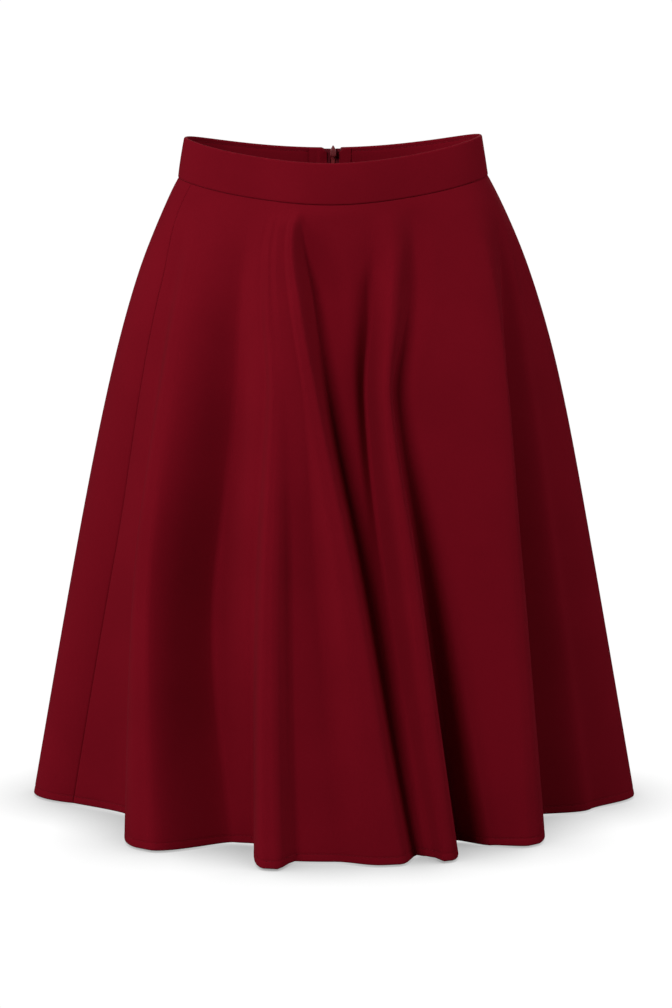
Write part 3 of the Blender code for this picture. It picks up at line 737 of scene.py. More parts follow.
def tape_finish():
    """A fine herringbone tape, its ribs slanting one way and then the other."""
    made, tree, shader = start_finish("woven_zip_tape")
    flat, across, down = tree.flat_map()
    slant = tree.node("ShaderNodeMath", {"operation": "PINGPONG"}, (across, TAPE_SLANT))
    rib = tree.sine((down + slant) * (math.tau / TAPE_RIB)) * 0.5 + 0.5
    fibre = tree.noise(flat, 0.5 * MM, 2.0)
    colour = tree.mix(rib * 0.6 + fibre * 0.4, TAPE_DEEP_RED, TAPE_RED)
    set_finish(tree, shader, colour, 0.85 - rib * 0.12, rib * 0.7 + fibre * 0.3, 0.5, 0.2 * MM, 0.15)
    return made


woven_tape = tape_finish()
print("Made", woven_tape.name)

# %% The tapes
COIL_WIDTH = 4.4 * MM
COIL_THICKNESS = 1.8 * MM
TAPE_WIDTH = 13 * MM
TAPE_THICKNESS = 0.8 * MM
TAPE_TOP = 0.03
TAPE_ROUND = 0.3 * MM
TAPE_ROW = 4 * MM
LAST_IN_BAND = 0.98
FIRST_IN_SKIRT = 0.002


def zip_places(top, row):
    """Rows down the centre back as (surface, share down it, how far inside it the tape begins)."""
    step_in = BAND_THICKNESS - BAND_LIP - CLOTH
    places = [(band_surface, v, BAND_THICKNESS + SEAM_GAP)
              for v in np.linspace(top, LAST_IN_BAND, round((LAST_IN_BAND - top) * BAND_HEIGHT / row))]
    for t in np.linspace(FIRST_IN_SKIRT, ZIP_END, round(ZIP_END * SKIRT_LENGTH / row)):
        places.append((skirt_surface, t, CLOTH + SEAM_GAP + step_in * math.exp(-t / (2 * LIP_REACH))))
    return places


def back_point(surface, down, across, depth=0.0):
    """Points inside the cloth at distances across from the centre back, and directions away from the body."""
    angles = CENTRE_BACK + np.degrees(np.asarray(across, float) / surface(CENTRE_BACK, down)[..., 1])
    normals = level_normals(surface, angles, down)
    return surface(angles, down) - normals * np.asarray(depth)[..., None], normals


def strip_at_back(name, places, columns, thickness, rounding):
    """A woven strip along the centre back, whose columns stand at distances across from the seam."""
    roll = rolled(np.minimum(columns - columns[0], columns[-1] - columns), rounding)
    walls = [wall(*back_point(surface, down, columns), depth + roll, depth + thickness - roll)
             for surface, down, depth in places]
    return cloth_shell(name, walls, woven_tape)


TAPE_START = 0.5 * COIL_WIDTH + SEAM_GAP
TAPE_END = TAPE_START + TAPE_WIDTH - 0.5 * COIL_WIDTH
TAPE_EDGE = np.array((0.0, 0.1, 0.35)) * MM
tape_columns = np.concatenate((TAPE_START + TAPE_EDGE, np.array((5, 8, 11)) * MM, TAPE_END - TAPE_EDGE[::-1]))
tape_places = zip_places(TAPE_TOP, TAPE_ROW)
tape_left = strip_at_back("zip_tape_left_woven", tape_places, tape_columns, TAPE_THICKNESS, TAPE_ROUND)
tape_right = strip_at_back("zip_tape_right_woven", tape_places, -tape_columns[::-1], TAPE_THICKNESS,
                           TAPE_ROUND)
print(f"Tapes {ZIP_LENGTH / MM:.0f} mm long, {(TAPE_END - TAPE_START) / MM:.1f} mm wide each")

# %% The band's ends, turned in over the tapes
FACING_START = 5.9 * MM
FACING_LEFT_END = 23.3 * MM
FACING_RIGHT_END = 17.5 * MM
FACING_THICKNESS = 0.9 * MM
FACING_ROUND = 0.42 * MM
FACING_OVER_TAPE = 4.3 * MM
FACING_ON_BAND = 3.25 * MM
FACING_SLANT = 4.0 * MM
FACING_SLANT_REACH = 5.5 * MM
FACING_SLANT_CURVE = 1.3
FACING_STEP = 3 * MM
FACING_ROWS = np.array((1.2, 1.35, 1.6, 2.2, 3.5, 5.0) + tuple(range(8, 34, 4))
                       + (35.5, 36.4, 36.8, 37.0)) * MM
FACING_COLUMNS = np.concatenate(((0.0, 0.008, 0.03, 0.08), np.linspace(0.14, 0.90, 14),
                                 (0.95, 0.98, 0.993, 1.0)))


def turned_end(name, side, end):
    """The turned-in end of the band on the +1 or -1 side of the zip, out to its free edge."""
    walls = []
    away = (FACING_START + (end - FACING_START) * FACING_COLUMNS)[::side]
    share = np.clip((away - TAPE_END) / FACING_STEP, 0.0, 1.0)
    depth = FACING_OVER_TAPE + (FACING_ON_BAND - FACING_OVER_TAPE) * share * share * (3 - 2 * share)
    reach = np.clip(1.0 - (away - FACING_START) / FACING_SLANT_REACH, 0.0, 1.0)
    slant = FACING_SLANT * reach ** FACING_SLANT_CURVE
    for down in FACING_ROWS:
        v = (down + slant * (1.0 - down / BAND_HEIGHT)) / BAND_HEIGHT
        from_edge = min(down - FACING_ROWS[0], FACING_ROWS[-1] - down)
        roll = rolled(np.minimum(from_edge, np.minimum(away - FACING_START, end - away)), FACING_ROUND)
        walls.append(wall(*back_point(band_surface, v, side * away), depth + roll,
                          depth + FACING_THICKNESS - roll))
    return cloth_shell(name, walls, crepe)


facing_left = turned_end("zip_facing_left", 1, FACING_LEFT_END)
facing_right = turned_end("zip_facing_right", -1, FACING_RIGHT_END)
print(f"Turned ends to {FACING_LEFT_END / MM:.1f} and {FACING_RIGHT_END / MM:.1f} mm beside the zip")

# %% [markdown]
# ## Stitches and teeth that follow a path
#
# A stitch is a small rounded bead of thread, and there are hundreds of them in a row. Placing them by hand
# or with an Array modifier would need the path twice, once for the cloth and once for the row. A small
# geometry node tree does it from one path: it walks along the line at an even spacing, and puts a copy of a
# shape at each step, lying along the line and facing away from the cloth. The zip's teeth use the same
# tree, with every second one turned half round. A second tree draws the overlock's thread as a zigzag.


# %% Node trees that grow things along a path
def start_growth(name, sockets):
    """An empty tree with named inputs, as its group, its Tree and its inputs."""
    group = bpy.data.node_groups.new(name, "GeometryNodeTree")
    group.interface.new_socket("Grown", in_out="OUTPUT", socket_type="NodeSocketGeometry")
    for label, kind in (("Path", "Geometry"),) + sockets:
        group.interface.new_socket(label, in_out="INPUT", socket_type="NodeSocket" + kind)
    tree = Tree(group)
    inputs = group.nodes.new("NodeGroupInput").outputs
    return group, tree, {socket.name: Wire(tree, socket) for socket in inputs if socket.name}


def end_growth(group, tree, geometry, finish):
    """Turns what has grown into real faces with one finish, and gives it out."""
    real = tree.node("GeometryNodeRealizeInstances", None, (geometry,))
    smooth = tree.node("GeometryNodeSetShadeSmooth", None, (real,))
    done = tree.node("GeometryNodeSetMaterial", None, {"Geometry": smooth, "Material": finish})
    tree.fill(group.nodes.new("NodeGroupOutput").inputs[0], done)


def even_steps(tree, given):
    """The path as a curve with even steps, its direction, and the direction away from the cloth."""
    curve = tree.node("GeometryNodeMeshToCurve", None, (given["Path"],))
    stepped = tree.node("GeometryNodeResampleCurve", {"mode": "LENGTH"},
                        {"Curve": curve, "Length": given["Spacing"]})
    away = tree.node("GeometryNodeInputNamedAttribute", {"data_type": "FLOAT_VECTOR"}, {"Name": "away"})
    return stepped, tree.node("GeometryNodeInputTangent"), away


def every_second(tree):
    """0 at even steps and 1 at odd ones."""
    return tree.node("ShaderNodeMath", {"operation": "MODULO"}, (tree.node("GeometryNodeInputIndex"), 2.0))


def row_of_shapes():
    """Copies of a small shape along a path."""
    group, tree, given = start_growth("row_of_shapes", (
        ("Shape", "Object"), ("Spacing", "Float"), ("Size", "Vector"), ("Half Turns", "Float"),
        ("Finish", "Material")))
    stepped, along, away = even_steps(tree, given)
    lying = tree.node("FunctionNodeAlignRotationToVector", {"axis": "X"}, {"Vector": along})
    facing = tree.node("FunctionNodeAlignRotationToVector", {"axis": "Z", "pivot_axis": "X"},
                       {"Rotation": lying, "Vector": away})
    angle = every_second(tree) * given["Half Turns"] * math.pi
    half_turn = tree.node("FunctionNodeAxisAngleToRotation", None, {"Axis": (0.0, 0.0, 1.0), "Angle": angle})
    turned = tree.node("FunctionNodeRotateRotation", {"rotation_space": "LOCAL"}, (facing, half_turn))
    shape = tree.node("GeometryNodeObjectInfo", None, {"Object": given["Shape"]}, output="Geometry")
    copies = tree.node("GeometryNodeInstanceOnPoints", None, {
        "Points": stepped, "Instance": shape, "Rotation": turned, "Scale": given["Size"]})
    end_growth(group, tree, copies, given["Finish"])
    return group


def zigzag_thread():
    """A thread that crosses its path at every step."""
    group, tree, given = start_growth("zigzag_thread", (
        ("Spacing", "Float"), ("Width", "Float"), ("Thread", "Float"), ("Finish", "Material")))
    stepped, along, away = even_steps(tree, given)
    across = tree.node("ShaderNodeVectorMath", {"operation": "CROSS_PRODUCT"}, (along, away))
    shift = (every_second(tree) - 0.5) * given["Width"]
    moved = tree.node("ShaderNodeVectorMath", {"operation": "SCALE"}, {0: across, "Scale": shift})
    crossing = tree.node("GeometryNodeSetPosition", None, {"Geometry": stepped, "Offset": moved})
    section = tree.node("GeometryNodeCurvePrimitiveCircle", None,
                        {"Resolution": 5, "Radius": given["Thread"]})
    drawn = tree.node("GeometryNodeCurveToMesh", None, {"Curve": crossing, "Profile Curve": section})
    end_growth(group, tree, drawn, given["Finish"])
    return group


shape_row = row_of_shapes()
zigzag = zigzag_thread()
print("Trees:", shape_row.name, len(shape_row.nodes), "nodes and", zigzag.name, len(zigzag.nodes), "nodes")


# %% Grow a tree along paths and keep one plain mesh
def grown(name, group, paths, values):
    """One mesh of all that grows along the paths, each a pair of points and directions off the cloth."""
    guide = bpy.data.meshes.new(name + "_path")
    links, start = [], 0
    for points, _ in paths:
        links += [(k, k + 1) for k in range(start, start + len(points) - 1)]
        start += len(points)
    guide.from_pydata(np.concatenate([points for points, _ in paths]), links, [])
    away = guide.attributes.new("away", "FLOAT_VECTOR", "POINT")
    away.data.foreach_set("vector", np.concatenate([out for _, out in paths]).astype(np.float32).ravel())
    holder = add_object(name + "_path", guide)
    growth = holder.modifiers.new("growth", "NODES")
    growth.node_group = group
    for item in group.interface.items_tree:
        if item.in_out == "INPUT" and item.name in values:
            growth[item.identifier] = values[item.name]
    ready = holder.evaluated_get(bpy.context.evaluated_depsgraph_get())
    mesh = bpy.data.meshes.new_from_object(ready)
    holder.modifiers.remove(growth)
    bpy.data.objects.remove(holder)
    made = add_object(name, mesh)
    print(f"{name}: {triangles(made)} triangles")
    return made


def object_of(name, shape):
    """An object of a finished bmesh."""
    mesh = bpy.data.meshes.new(name)
    shape.to_mesh(mesh)
    shape.free()
    return add_object(name, mesh)


# %% [markdown]
# The thread is a fine polyester dyed to match, a little shinier than the cloth, with a twist that shows
# close up.


# %% Sewing thread
THREAD_RED = (0.230, 0.0060, 0.0160, 1.0)
THREAD_DEEP_RED = (0.150, 0.0030, 0.0095, 1.0)
THREAD_TWIST = 0.9 * MM


def thread_finish():
    made, tree, shader = start_finish("sewing_thread")
    twist = tree.node("ShaderNodeTexWave", {"bands_direction": "DIAGONAL"}, {
        "Vector": tree.own_place(), "Scale": 1 / THREAD_TWIST, "Distortion": 0.5})
    colour = tree.mix(twist, THREAD_DEEP_RED, THREAD_RED)
    set_finish(tree, shader, colour, 0.75 - twist * 0.1, twist, 0.4, 0.05 * MM, 0.15)
    return made


thread = thread_finish()
STITCH = 2.6 * MM
STITCH_STEP = 3.5 * MM
THREAD_WIDTH = 0.55 * MM
THREAD_HEIGHT = 0.7 * THREAD_WIDTH
PATH_STEP = 2.0


def new_bead():
    """A small ball of a few dozen faces, which each stitch stretches."""
    ball = bmesh.new()
    bmesh.ops.create_uvsphere(ball, u_segments=8, v_segments=5, radius=0.5)
    return object_of("bead", ball)


def stitch_row(name, paths):
    return grown(name, shape_row, paths, {
        "Shape": bead, "Spacing": STITCH_STEP, "Size": (STITCH, THREAD_WIDTH, THREAD_HEIGHT),
        "Half Turns": 0.0, "Finish": thread})


bead = new_bead()

# %% Stitches along the hem, inside the band's top edge and down the tapes
HEM_STITCH_SINK = 0.16 * MM
UNDERSTITCH_DEPTH = BAND_THICKNESS - 0.12 * MM
BAND_STITCH_ENDS = 168
TAPE_STITCHES = (7.5 * MM, TAPE_END - 1.5 * MM)
BELOW_BAND = 0.99


def round_path(surface, ends, down, depth, side):
    """A path round the body to the angles -ends and ends, which faces outside (side 1) or inside (-1)."""
    angles = np.arange(-ends, ends + PATH_STEP, PATH_STEP)
    out = level_normals(surface, angles, down)
    return surface(angles, down) - out * depth, side * out


def back_path(places, across, depth_in):
    """A path down the zip's inner side, at a distance across and a depth inside the tape's outer face."""
    path = [back_point(surface, down, np.array([across]), np.array([depth + depth_in]))
            for surface, down, depth in places]
    return np.concatenate([points for points, _ in path]), -np.concatenate([out for _, out in path])


hem_stitches = stitch_row("hem_stitches", [
    round_path(skirt_surface, CENTRE_BACK, 1.0 - STITCH_LINE / SKIRT_LENGTH, HEM_STITCH_SINK, 1)])
band_stitches = stitch_row("band_stitches", [
    round_path(band_surface, BAND_STITCH_ENDS, UNDERSTITCH / BAND_HEIGHT, UNDERSTITCH_DEPTH, -1)])
tape_stitches = stitch_row("zip_tape_stitches", [
    back_path(zip_places(BELOW_BAND, TAPE_ROW), side * across, TAPE_THICKNESS)
    for side in (-1, 1) for across in TAPE_STITCHES])

# %% The overlocked edges of the seam allowances
OVERLOCK_STEP = 1.6 * MM
OVERLOCK_WIDTH = 3.2 * MM
OVERLOCK_THREAD = 0.17 * MM
OVERLOCK_IN = 2.0 * MM
OVERLOCK_POINTS = 60


def allowance_path(seam, side, top):
    """A line near an allowance's edge, on its inner face."""
    t = np.linspace(top, ALLOWANCE_LOW, OVERLOCK_POINTS)
    at = np.array([seam(each) for each in t])
    angles = at + side * np.degrees((ALLOWANCE - OVERLOCK_IN) / level_radius(at, t))
    out = level_normals(skirt_surface, angles, t)
    depth = ALLOWANCE_DEPTH + ALLOWANCE_THICKNESS + 0.5 * OVERLOCK_THREAD
    return skirt_surface(angles, t) - out * depth, -out


overlock = grown("overlock_thread", zigzag, [
    allowance_path(seam, side, top) for seam, top in (
        (left_seam, ALLOWANCE_TOP), (right_seam, ALLOWANCE_TOP), (back_seam, below_zip)) for side in (1, -1)
], {"Spacing": OVERLOCK_STEP, "Width": OVERLOCK_WIDTH, "Thread": OVERLOCK_THREAD, "Finish": thread})

# %% [markdown]
# The coil is a nylon spiral sewn to both tapes. Closed, its loops lock into each other like the fingers of
# two hands, so each tooth reaches just past the middle, and its head is a little thicker than its neck.
# Behind the teeth runs the cord that the spiral is wound on.

# %% Finish and shape of the teeth
TOOTH_PITCH = 1.1 * MM
TOOTH_SIDES = 8
TOOTH_PROFILE = ((-0.55, 0.20), (-0.45, 0.42), (-0.05, 0.50), (0.40, 0.40), (1.30, 0.36), (1.80, 0.38),
                 (2.00, 0.18))
TOOTH_HEIGHT = 1.5
COIL_RED = (0.260, 0.0170, 0.0220, 1.0)
COIL_DEEP_RED = (0.180, 0.0110, 0.0150, 1.0)


def coil_finish():
    made, tree, shader = start_finish("dyed_nylon_coil")
    grain = tree.noise(tree.own_place(), 1.5 * MM, 2.0)
    colour = tree.mix(grain, COIL_DEEP_RED, COIL_RED)
    set_finish(tree, shader, colour, 0.55 + grain * 0.15, grain, 0.2, 0.05 * MM, 0.3)
    return made


def loft(shape, loops, closed=False):
    """Joins loops of points one after another, with caps at the ends, or into a closed ring."""
    made = [[shape.verts.new(point) for point in loop] for loop in loops]
    for first, second in list(zip(made, made[1:])) + ([(made[-1], made[0])] if closed else []):
        for k in range(len(first)):
            nxt = (k + 1) % len(first)
            shape.faces.new((first[k], first[nxt], second[nxt], second[k]))
    if not closed:
        shape.faces.new(made[0][::-1])
        shape.faces.new(made[-1])


def new_tooth():
    """One tooth, lying across the zip from its head past the middle to its neck at the tape."""
    shape = bmesh.new()
    turns = [math.tau * k / TOOTH_SIDES for k in range(TOOTH_SIDES)]
    loft(shape, [[(radius * MM * math.cos(a), x * MM, TOOTH_HEIGHT * radius * MM * math.sin(a))
                  for a in turns] for x, radius in TOOTH_PROFILE])
    bmesh.ops.recalc_face_normals(shape, faces=shape.faces)
    return object_of("tooth", shape)


nylon = coil_finish()
tooth = new_tooth()

# %% The coil below the slider
SLIDER_LOW = 8.8 * MM
COIL_TOP = (SLIDER_LOW + 2 * SEAM_GAP) / BAND_HEIGHT
COIL_ROW = 2 * MM
TEETH_DEPTH = 0.55 * COIL_THICKNESS
CORE_HALF_WIDTH = 1.7 * MM
CORE_THICKNESS = 0.5 * MM
CORE_ROUND = 0.24 * MM
coil_places = zip_places(COIL_TOP, COIL_ROW)
teeth = grown("zip_teeth", shape_row, [back_path(coil_places, 0.0, TEETH_DEPTH)], {
    "Shape": tooth, "Spacing": 0.5 * TOOTH_PITCH, "Size": (1.0, 1.0, 1.0), "Half Turns": 1.0,
    "Finish": nylon})
core_columns = np.linspace(-CORE_HALF_WIDTH, CORE_HALF_WIDTH, 7)
coil_core = strip_at_back("zip_coil_cord", coil_places, core_columns, CORE_THICKNESS, CORE_ROUND)
for helper in (bead, tooth):
    bpy.data.objects.remove(helper)

# %% [markdown]
# ## The slider and its tab
#
# The slider is cast metal, painted to match the skirt. Its body grips the tapes from inside. A thin neck
# passes between the ends of the band and carries a ring outside, from which the flat tab hangs. The forms
# are lofted from a few rounded outlines, so that their edges are soft as on a casting, and the paint has
# worn thin in specks.


# %% Painted metal
PAINT_RED = (0.160, 0.0100, 0.0150, 1.0)
BARE_METAL = (0.240, 0.0900, 0.0850, 1.0)


def painted_metal():
    made, tree, shader = start_finish("painted_metal")
    rub = tree.noise(tree.own_place(), 1.6 * MM, 4.0)
    orange_peel = tree.noise(tree.own_place(), 0.35 * MM, 1.0)
    worn = tree.spread(rub, 0.66, 0.72)
    colour = tree.mix(worn, PAINT_RED, BARE_METAL)
    set_finish(tree, shader, colour, 0.50 + rub * 0.12, orange_peel, 0.15, 0.05 * MM, 0.5)
    tree.fill(shader["Metallic"], worn * 0.6 + 0.05)
    shader["Coat Weight"].default_value = 0.12
    shader["Coat Roughness"].default_value = 0.35
    return made


paint = painted_metal()


# %% Rounded outlines, and pieces of metal
def rounded_outline(half_u, half_v, power, sides):
    """An outline between an ellipse (power 1) and a rectangle (power near 0)."""
    points = []
    for k in range(sides):
        across, along = math.cos(math.tau * k / sides), math.sin(math.tau * k / sides)
        points.append((half_u * math.copysign(abs(across) ** power, across),
                       half_v * math.copysign(abs(along) ** power, along)))
    return points


def metal_piece(name, shape):
    """Makes an object of a finished shape and paints it."""
    bmesh.ops.recalc_face_normals(shape, faces=shape.faces)
    made = object_of(name, shape)
    made.data.shade_smooth()
    made.data.materials.append(paint)
    print(f"{name}: {triangles(made)} triangles")
    return made


# %% The slider's body, neck and ring
SLIDER_DEPTH = 4.2 * MM
SLIDER_FACE = 0.5 * WAIST_DEPTH - BAND_THICKNESS - TAPE_THICKNESS - 2 * SEAM_GAP
SLIDER_MIDDLE = SLIDER_FACE - 0.5 * SLIDER_DEPTH
SLIDER_SECTIONS = ((-8.8, 2.1, 1.5), (-8.5, 2.5, 1.85), (-7.6, 2.8, 2.05), (-6.0, 2.9, 2.1), (-4.0, 3.0, 2.1),
                   (-2.8, 2.9, 2.1), (-1.8, 2.5, 2.05), (-0.8, 2.0, 1.95), (0.2, 1.45, 1.8), (1.1, 1.0, 1.6),
                   (1.7, 0.65, 1.3), (2.0, 0.3, 0.9))
RAIL = ((-8.0, 0.3), (-7.6, 0.55), (-6.8, 0.6), (-3.4, 0.6), (-2.7, 0.55), (-2.3, 0.3))
RAIL_AT = 1.9 * MM
RAIL_Y = SLIDER_MIDDLE - 0.5 * SLIDER_DEPTH + 0.1 * MM
RING_RADIUS = 2.2 * MM
RING_HOLE = 1.4 * MM
RING_MIDDLE = 0.5 * (RING_RADIUS + RING_HOLE)
RING_THICKNESS = 0.9 * MM
RING_STEPS = 36
RING_Y = 0.5 * WAIST_DEPTH + 2.6 * MM
RING_Z = -0.6 * MM
NECK_HALF_HEIGHT = 1.3 * MM
NECK = ((SLIDER_FACE - 0.4 * MM, 1.25), (SLIDER_FACE + 1.0 * MM, 1.0), (RING_Y - RING_RADIUS - 1.2 * MM, 0.9),
        (RING_Y - RING_RADIUS, 0.8), (RING_Y - RING_MIDDLE, 0.5))


def slider_piece():
    """The body, two rails on its back, the ring outside and the neck that joins them, each a loft."""
    shape = bmesh.new()
    loft(shape, [[(u, SLIDER_MIDDLE + v, z * MM)
                  for u, v in rounded_outline(half_width * MM, half_depth * MM, power=0.45, sides=28)]
                 for z, half_width, half_depth in SLIDER_SECTIONS])
    for side in (-1, 1):
        loft(shape, [[(side * RAIL_AT + u, RAIL_Y + v, z * MM)
                      for u, v in rounded_outline(r * MM, 0.8 * r * MM, power=0.9, sides=10)]
                     for z, r in RAIL])
    section = rounded_outline(0.5 * (RING_RADIUS - RING_HOLE), 0.5 * RING_THICKNESS, power=0.6, sides=12)
    turns = [math.tau * k / RING_STEPS for k in range(RING_STEPS)]
    loft(shape, [[(w, RING_Y + (RING_MIDDLE + u) * math.cos(a), RING_Z + (RING_MIDDLE + u) * math.sin(a))
                  for u, w in section] for a in turns], closed=True)
    loft(shape, [[(u, y, RING_Z + v) for u, v in rounded_outline(
        0.5 * RING_THICKNESS, share * NECK_HALF_HEIGHT, power=0.6, sides=16)] for y, share in NECK])
    return metal_piece("zip_slider_painted", shape)


slider = slider_piece()

# %% The tab
TAB_LENGTH = 24 * MM
TAB_WIDTH = 6.4 * MM
TAB_TOP_SHARE = 0.72
TAB_TAPER = 0.6
TAB_ROUNDNESS = 0.55
TAB_THICKNESS = 1.2 * MM
TAB_BAR = 1.2 * MM
TAB_SLOT_LENGTH = 4.0 * MM
TAB_SLOT_WIDTH = 1.8 * MM
SLOT_ROUNDNESS = 0.4
TAB_PIVOT = np.array((RING_Y, RING_Z - 0.25 * MM))
TAB_LEAN = math.radians(5.4)
TAB_SIDES = 72
TAB_LOOPS = np.array((0.0, 0.03, 0.09, 0.2, 0.4, 0.6, 0.75, 0.85, 0.92, 0.97, 1.0))
TAB_EDGE = 0.45 * MM
FIELD_DEPTH = 0.16 * MM
FIELD_HALF_WIDTH = 0.5 * TAB_WIDTH - 1.1 * MM
FIELD_TOP = 8 * MM
FIELD_LOW = 20.5 * MM
FIELD_SIDE_SLOPE = 0.5 * MM
FIELD_END_SLOPE = 1.0 * MM


def tab_outlines():
    """The tab's outer outline and its slot's, as (across, down) from the pivot."""
    outline, hole = [], []
    for v, u in rounded_outline(0.5 * TAB_LENGTH, 0.5 * TAB_WIDTH, TAB_ROUNDNESS, TAB_SIDES):
        taper = min(1.0, (0.5 * TAB_LENGTH - v) / (TAB_TAPER * TAB_LENGTH))
        across = u * (TAB_TOP_SHARE + (1.0 - TAB_TOP_SHARE) * taper)
        outline.append((across, 0.5 * (TAB_LENGTH - TAB_BAR) - v))
    for v, u in rounded_outline(0.5 * TAB_SLOT_LENGTH, 0.5 * TAB_SLOT_WIDTH, SLOT_ROUNDNESS, TAB_SIDES):
        hole.append((u, 0.5 * (TAB_BAR + TAB_SLOT_LENGTH) - v))
    return np.array(outline), np.array(hole)


def sunk_field(across, along):
    """How deep the field is sunk at points of a face, given as (across, down) from the pivot."""
    sides = np.clip((FIELD_HALF_WIDTH - np.abs(across)) / FIELD_SIDE_SLOPE, 0.0, 1.0)
    top = np.clip((along - FIELD_TOP) / FIELD_END_SLOPE, 0.0, 1.0)
    return FIELD_DEPTH * sides * (top * np.clip((FIELD_LOW - along) / FIELD_END_SLOPE, 0.0, 1.0))


def tab_piece():
    """The tab, with rounded edges and a shallow field sunk in both faces."""
    outline, hole = tab_outlines()
    width = np.linalg.norm(outline - hole, axis=1)
    down = np.array((math.sin(TAB_LEAN), -math.cos(TAB_LEAN)))
    away = np.array((math.cos(TAB_LEAN), math.sin(TAB_LEAN)))
    loops = []
    for face in (1, -1):
        for share in TAB_LOOPS[::face]:
            flat = hole + (outline - hole) * share
            edge = np.minimum(share, 1.0 - share) * width
            height = face * (0.5 * TAB_THICKNESS - rolled(edge, TAB_EDGE) - sunk_field(*flat.T))
            place = TAB_PIVOT + (flat[:, 1:] * down + height[:, None] * away)
            loops.append(np.column_stack((flat[:, 0], place)))
    shape = bmesh.new()
    loft(shape, loops, closed=True)
    return metal_piece("zip_pull_tab_painted", shape)


tab = tab_piece()

# %% [markdown]
# ## The studio
#
# A plain white floor, soft lights and a camera at the height and angle of the photograph. The key light
# stands in front to the left, and two weaker lights stand at the sides, so that both edges of the skirt
# stay bright while the folds in front keep dark valleys. A fourth stands behind, out of the picture's
# sight, for the back.

# %% Camera
PHOTO_HEIGHT = 1008
FOCAL_LENGTH = 3454
SENSOR = 36.0
CAMERA_PLACE = (0.0028, -3.27, 0.2763)
CAMERA_TILT = 10.6
camera_data = bpy.data.cameras.new("studio_camera")
camera_data.sensor_width = SENSOR
camera_data.lens = FOCAL_LENGTH / PHOTO_HEIGHT * SENSOR
camera = add_object("studio_camera", camera_data)
camera.location = CAMERA_PLACE
camera.rotation_euler = (math.radians(90 - CAMERA_TILT), 0.0, 0.0)
bpy.context.scene.camera = camera
bpy.context.scene.view_settings.view_transform = "Standard"
print(f"Camera lens {camera_data.lens:.1f} mm")

# %% Lights
Lamp = namedtuple("Lamp", "name azimuth elevation distance size power")
LAMPS = (
    Lamp("key", -36, 32, 3.2, 1.2, 62),
    Lamp("right_side", 72, 30, 3.2, 1.2, 41),
    Lamp("left_side", -88, 32, 3.2, 1.2, 29),
    Lamp("back", 172, 34, 3.2, 1.2, 46),
)
LAMP_AIM = Vector((0.0, 0.0, -0.35))
LAMP_CENTRE_HEIGHT = -0.3


def add_lamp(lamp):
    """A square soft light at an azimuth and elevation round the skirt, aimed at its middle."""
    turn, lift = math.radians(lamp.azimuth), math.radians(lamp.elevation)
    level = lamp.distance * math.cos(lift)
    height = LAMP_CENTRE_HEIGHT + lamp.distance * math.sin(lift)
    data = bpy.data.lights.new(lamp.name, "AREA")
    data.size = lamp.size
    data.energy = lamp.power
    made = add_object(lamp.name, data)
    made.location = (level * math.sin(turn), -level * math.cos(turn), height)
    made.rotation_euler = (LAMP_AIM - made.location).to_track_quat("-Z", "Y").to_euler()


for lamp in LAMPS:
    add_lamp(lamp)
print(len(LAMPS), "soft lights")

# %% [markdown]
# The floor and the room are plain white to look at, but give the skirt only a little light, because a
# glowing floor would wash out the dark valleys. A Light Path node tells looking from lighting: the camera
# sees white, and the skirt is lit by a dim grey floor and an almost dark room. The soft shadow at the hem
# comes from the Ambient Occlusion node, which darkens the floor only where cloth is close above it.

# %% Floor and room
FLOOR_LEVEL = HEM_LEVEL - 2 * MM
FLOOR_REACH = 30.0
SHADOW_REACH = 80 * MM
SHADOW_DEPTH = 0.85
FLOOR_PAINT = (0.22, 0.22, 0.22, 1.0)
WHITE_GLOW = 1.02
ROOM_LIGHT = 0.01


def floor_finish():
    """White to the camera, with a soft shadow below the hem, and dim grey to the light."""
    made, tree, shader = start_finish("studio_floor_paint")
    tree.fill(shader["Base Color"], FLOOR_PAINT)
    shader["Roughness"].default_value = 1.0
    shader["Specular IOR Level"].default_value = 0.0
    open_air = tree.node("ShaderNodeAmbientOcclusion", {"samples": 16}, {"Distance": SHADOW_REACH}, output=1)
    glow = tree.node("ShaderNodeEmission", None, {"Strength": WHITE_GLOW - SHADOW_DEPTH * (1.0 - open_air)})
    seen = tree.node("ShaderNodeLightPath", output=0)
    diffuse = Wire(tree, made.node_tree.nodes["Principled BSDF"].outputs[0])
    both = tree.node("ShaderNodeMixShader", None, {0: seen, 1: diffuse, 2: glow})
    tree.fill(made.node_tree.nodes["Material Output"].inputs["Surface"], both)
    return made


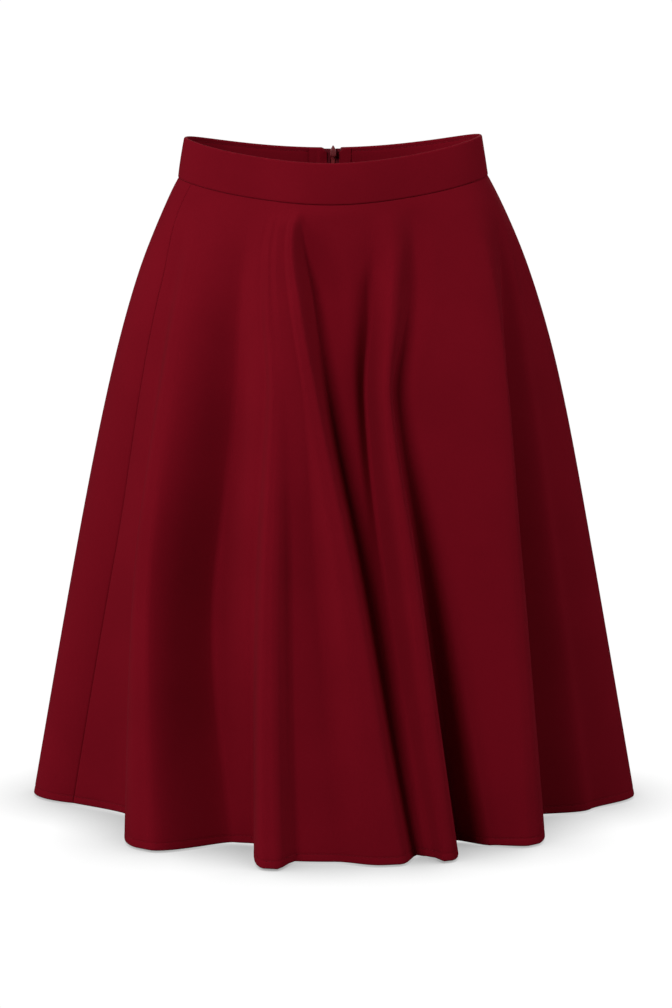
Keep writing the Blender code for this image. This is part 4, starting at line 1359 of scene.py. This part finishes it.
floor_mesh = bpy.data.meshes.new("studio_floor")
corners = [(x * FLOOR_REACH, y * FLOOR_REACH, FLOOR_LEVEL) for x, y in ((-1, -1), (1, -1), (1, 1), (-1, 1))]
floor_mesh.from_pydata(corners, [], [(0, 1, 2, 3)])
floor_mesh.materials.append(floor_finish())
floor = add_object("studio_floor", floor_mesh)

world = bpy.data.worlds.new("white_room")
world.use_nodes = True
bpy.context.scene.world = world
room = Tree(world.node_tree)
looking = room.node("ShaderNodeLightPath", output=0)
backdrop = world.node_tree.nodes["Background"]
backdrop.inputs["Color"].default_value = (1.0, 1.0, 1.0, 1.0)
room.fill(backdrop.inputs["Strength"], looking * (WHITE_GLOW - ROOM_LIGHT) + ROOM_LIGHT)
print(f"Floor at {FLOOR_LEVEL / MM:.0f} mm")

# %% [markdown]
# ## Fit the pieces to the frame
#
# Every piece rides on a body of the imported part, stands in for its plain solid, and names the finish that
# it takes.

# %% Ride, replace and name the finishes
Fitted = namedtuple("Fitted", "piece body nodes slot")
FITTED = [
    Fitted(front_panel, "skirt", ["front_panel"], "skirt_cloth"),
    Fitted(back_panel_left, "skirt", ["back_panel_left"], "skirt_cloth"),
    Fitted(back_panel_right, "skirt", ["back_panel_right"], "skirt_cloth"),
    Fitted(waistband, "skirt", ["waistband"], "skirt_cloth"),
    Fitted(tape_left, "skirt", ["zip_tape_left"], "zip_tape"),
    Fitted(tape_right, "skirt", ["zip_tape_right"], "zip_tape"),
    Fitted(teeth, "skirt", ["zip_coil"], "zip_coil"),
    Fitted(coil_core, "skirt", [], "zip_tape"),
    Fitted(slider, "skirt", ["zip_slider"], "zip_metal"),
    Fitted(tab, "pull_tab", ["zip_pull_tab"], "zip_metal"),
]
sewn_on = [facing_left, facing_right, hem_stitches, band_stitches, tape_stitches, overlock]
for strips in allowances.values():
    sewn_on += strips
FITTED += [Fitted(piece, "skirt", [], "skirt_cloth") for piece in sewn_on]
for fitted in FITTED:
    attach(fitted.piece, fitted.body)
    if fitted.nodes:
        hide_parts(*fitted.nodes)
print(len(FITTED), "pieces fitted")
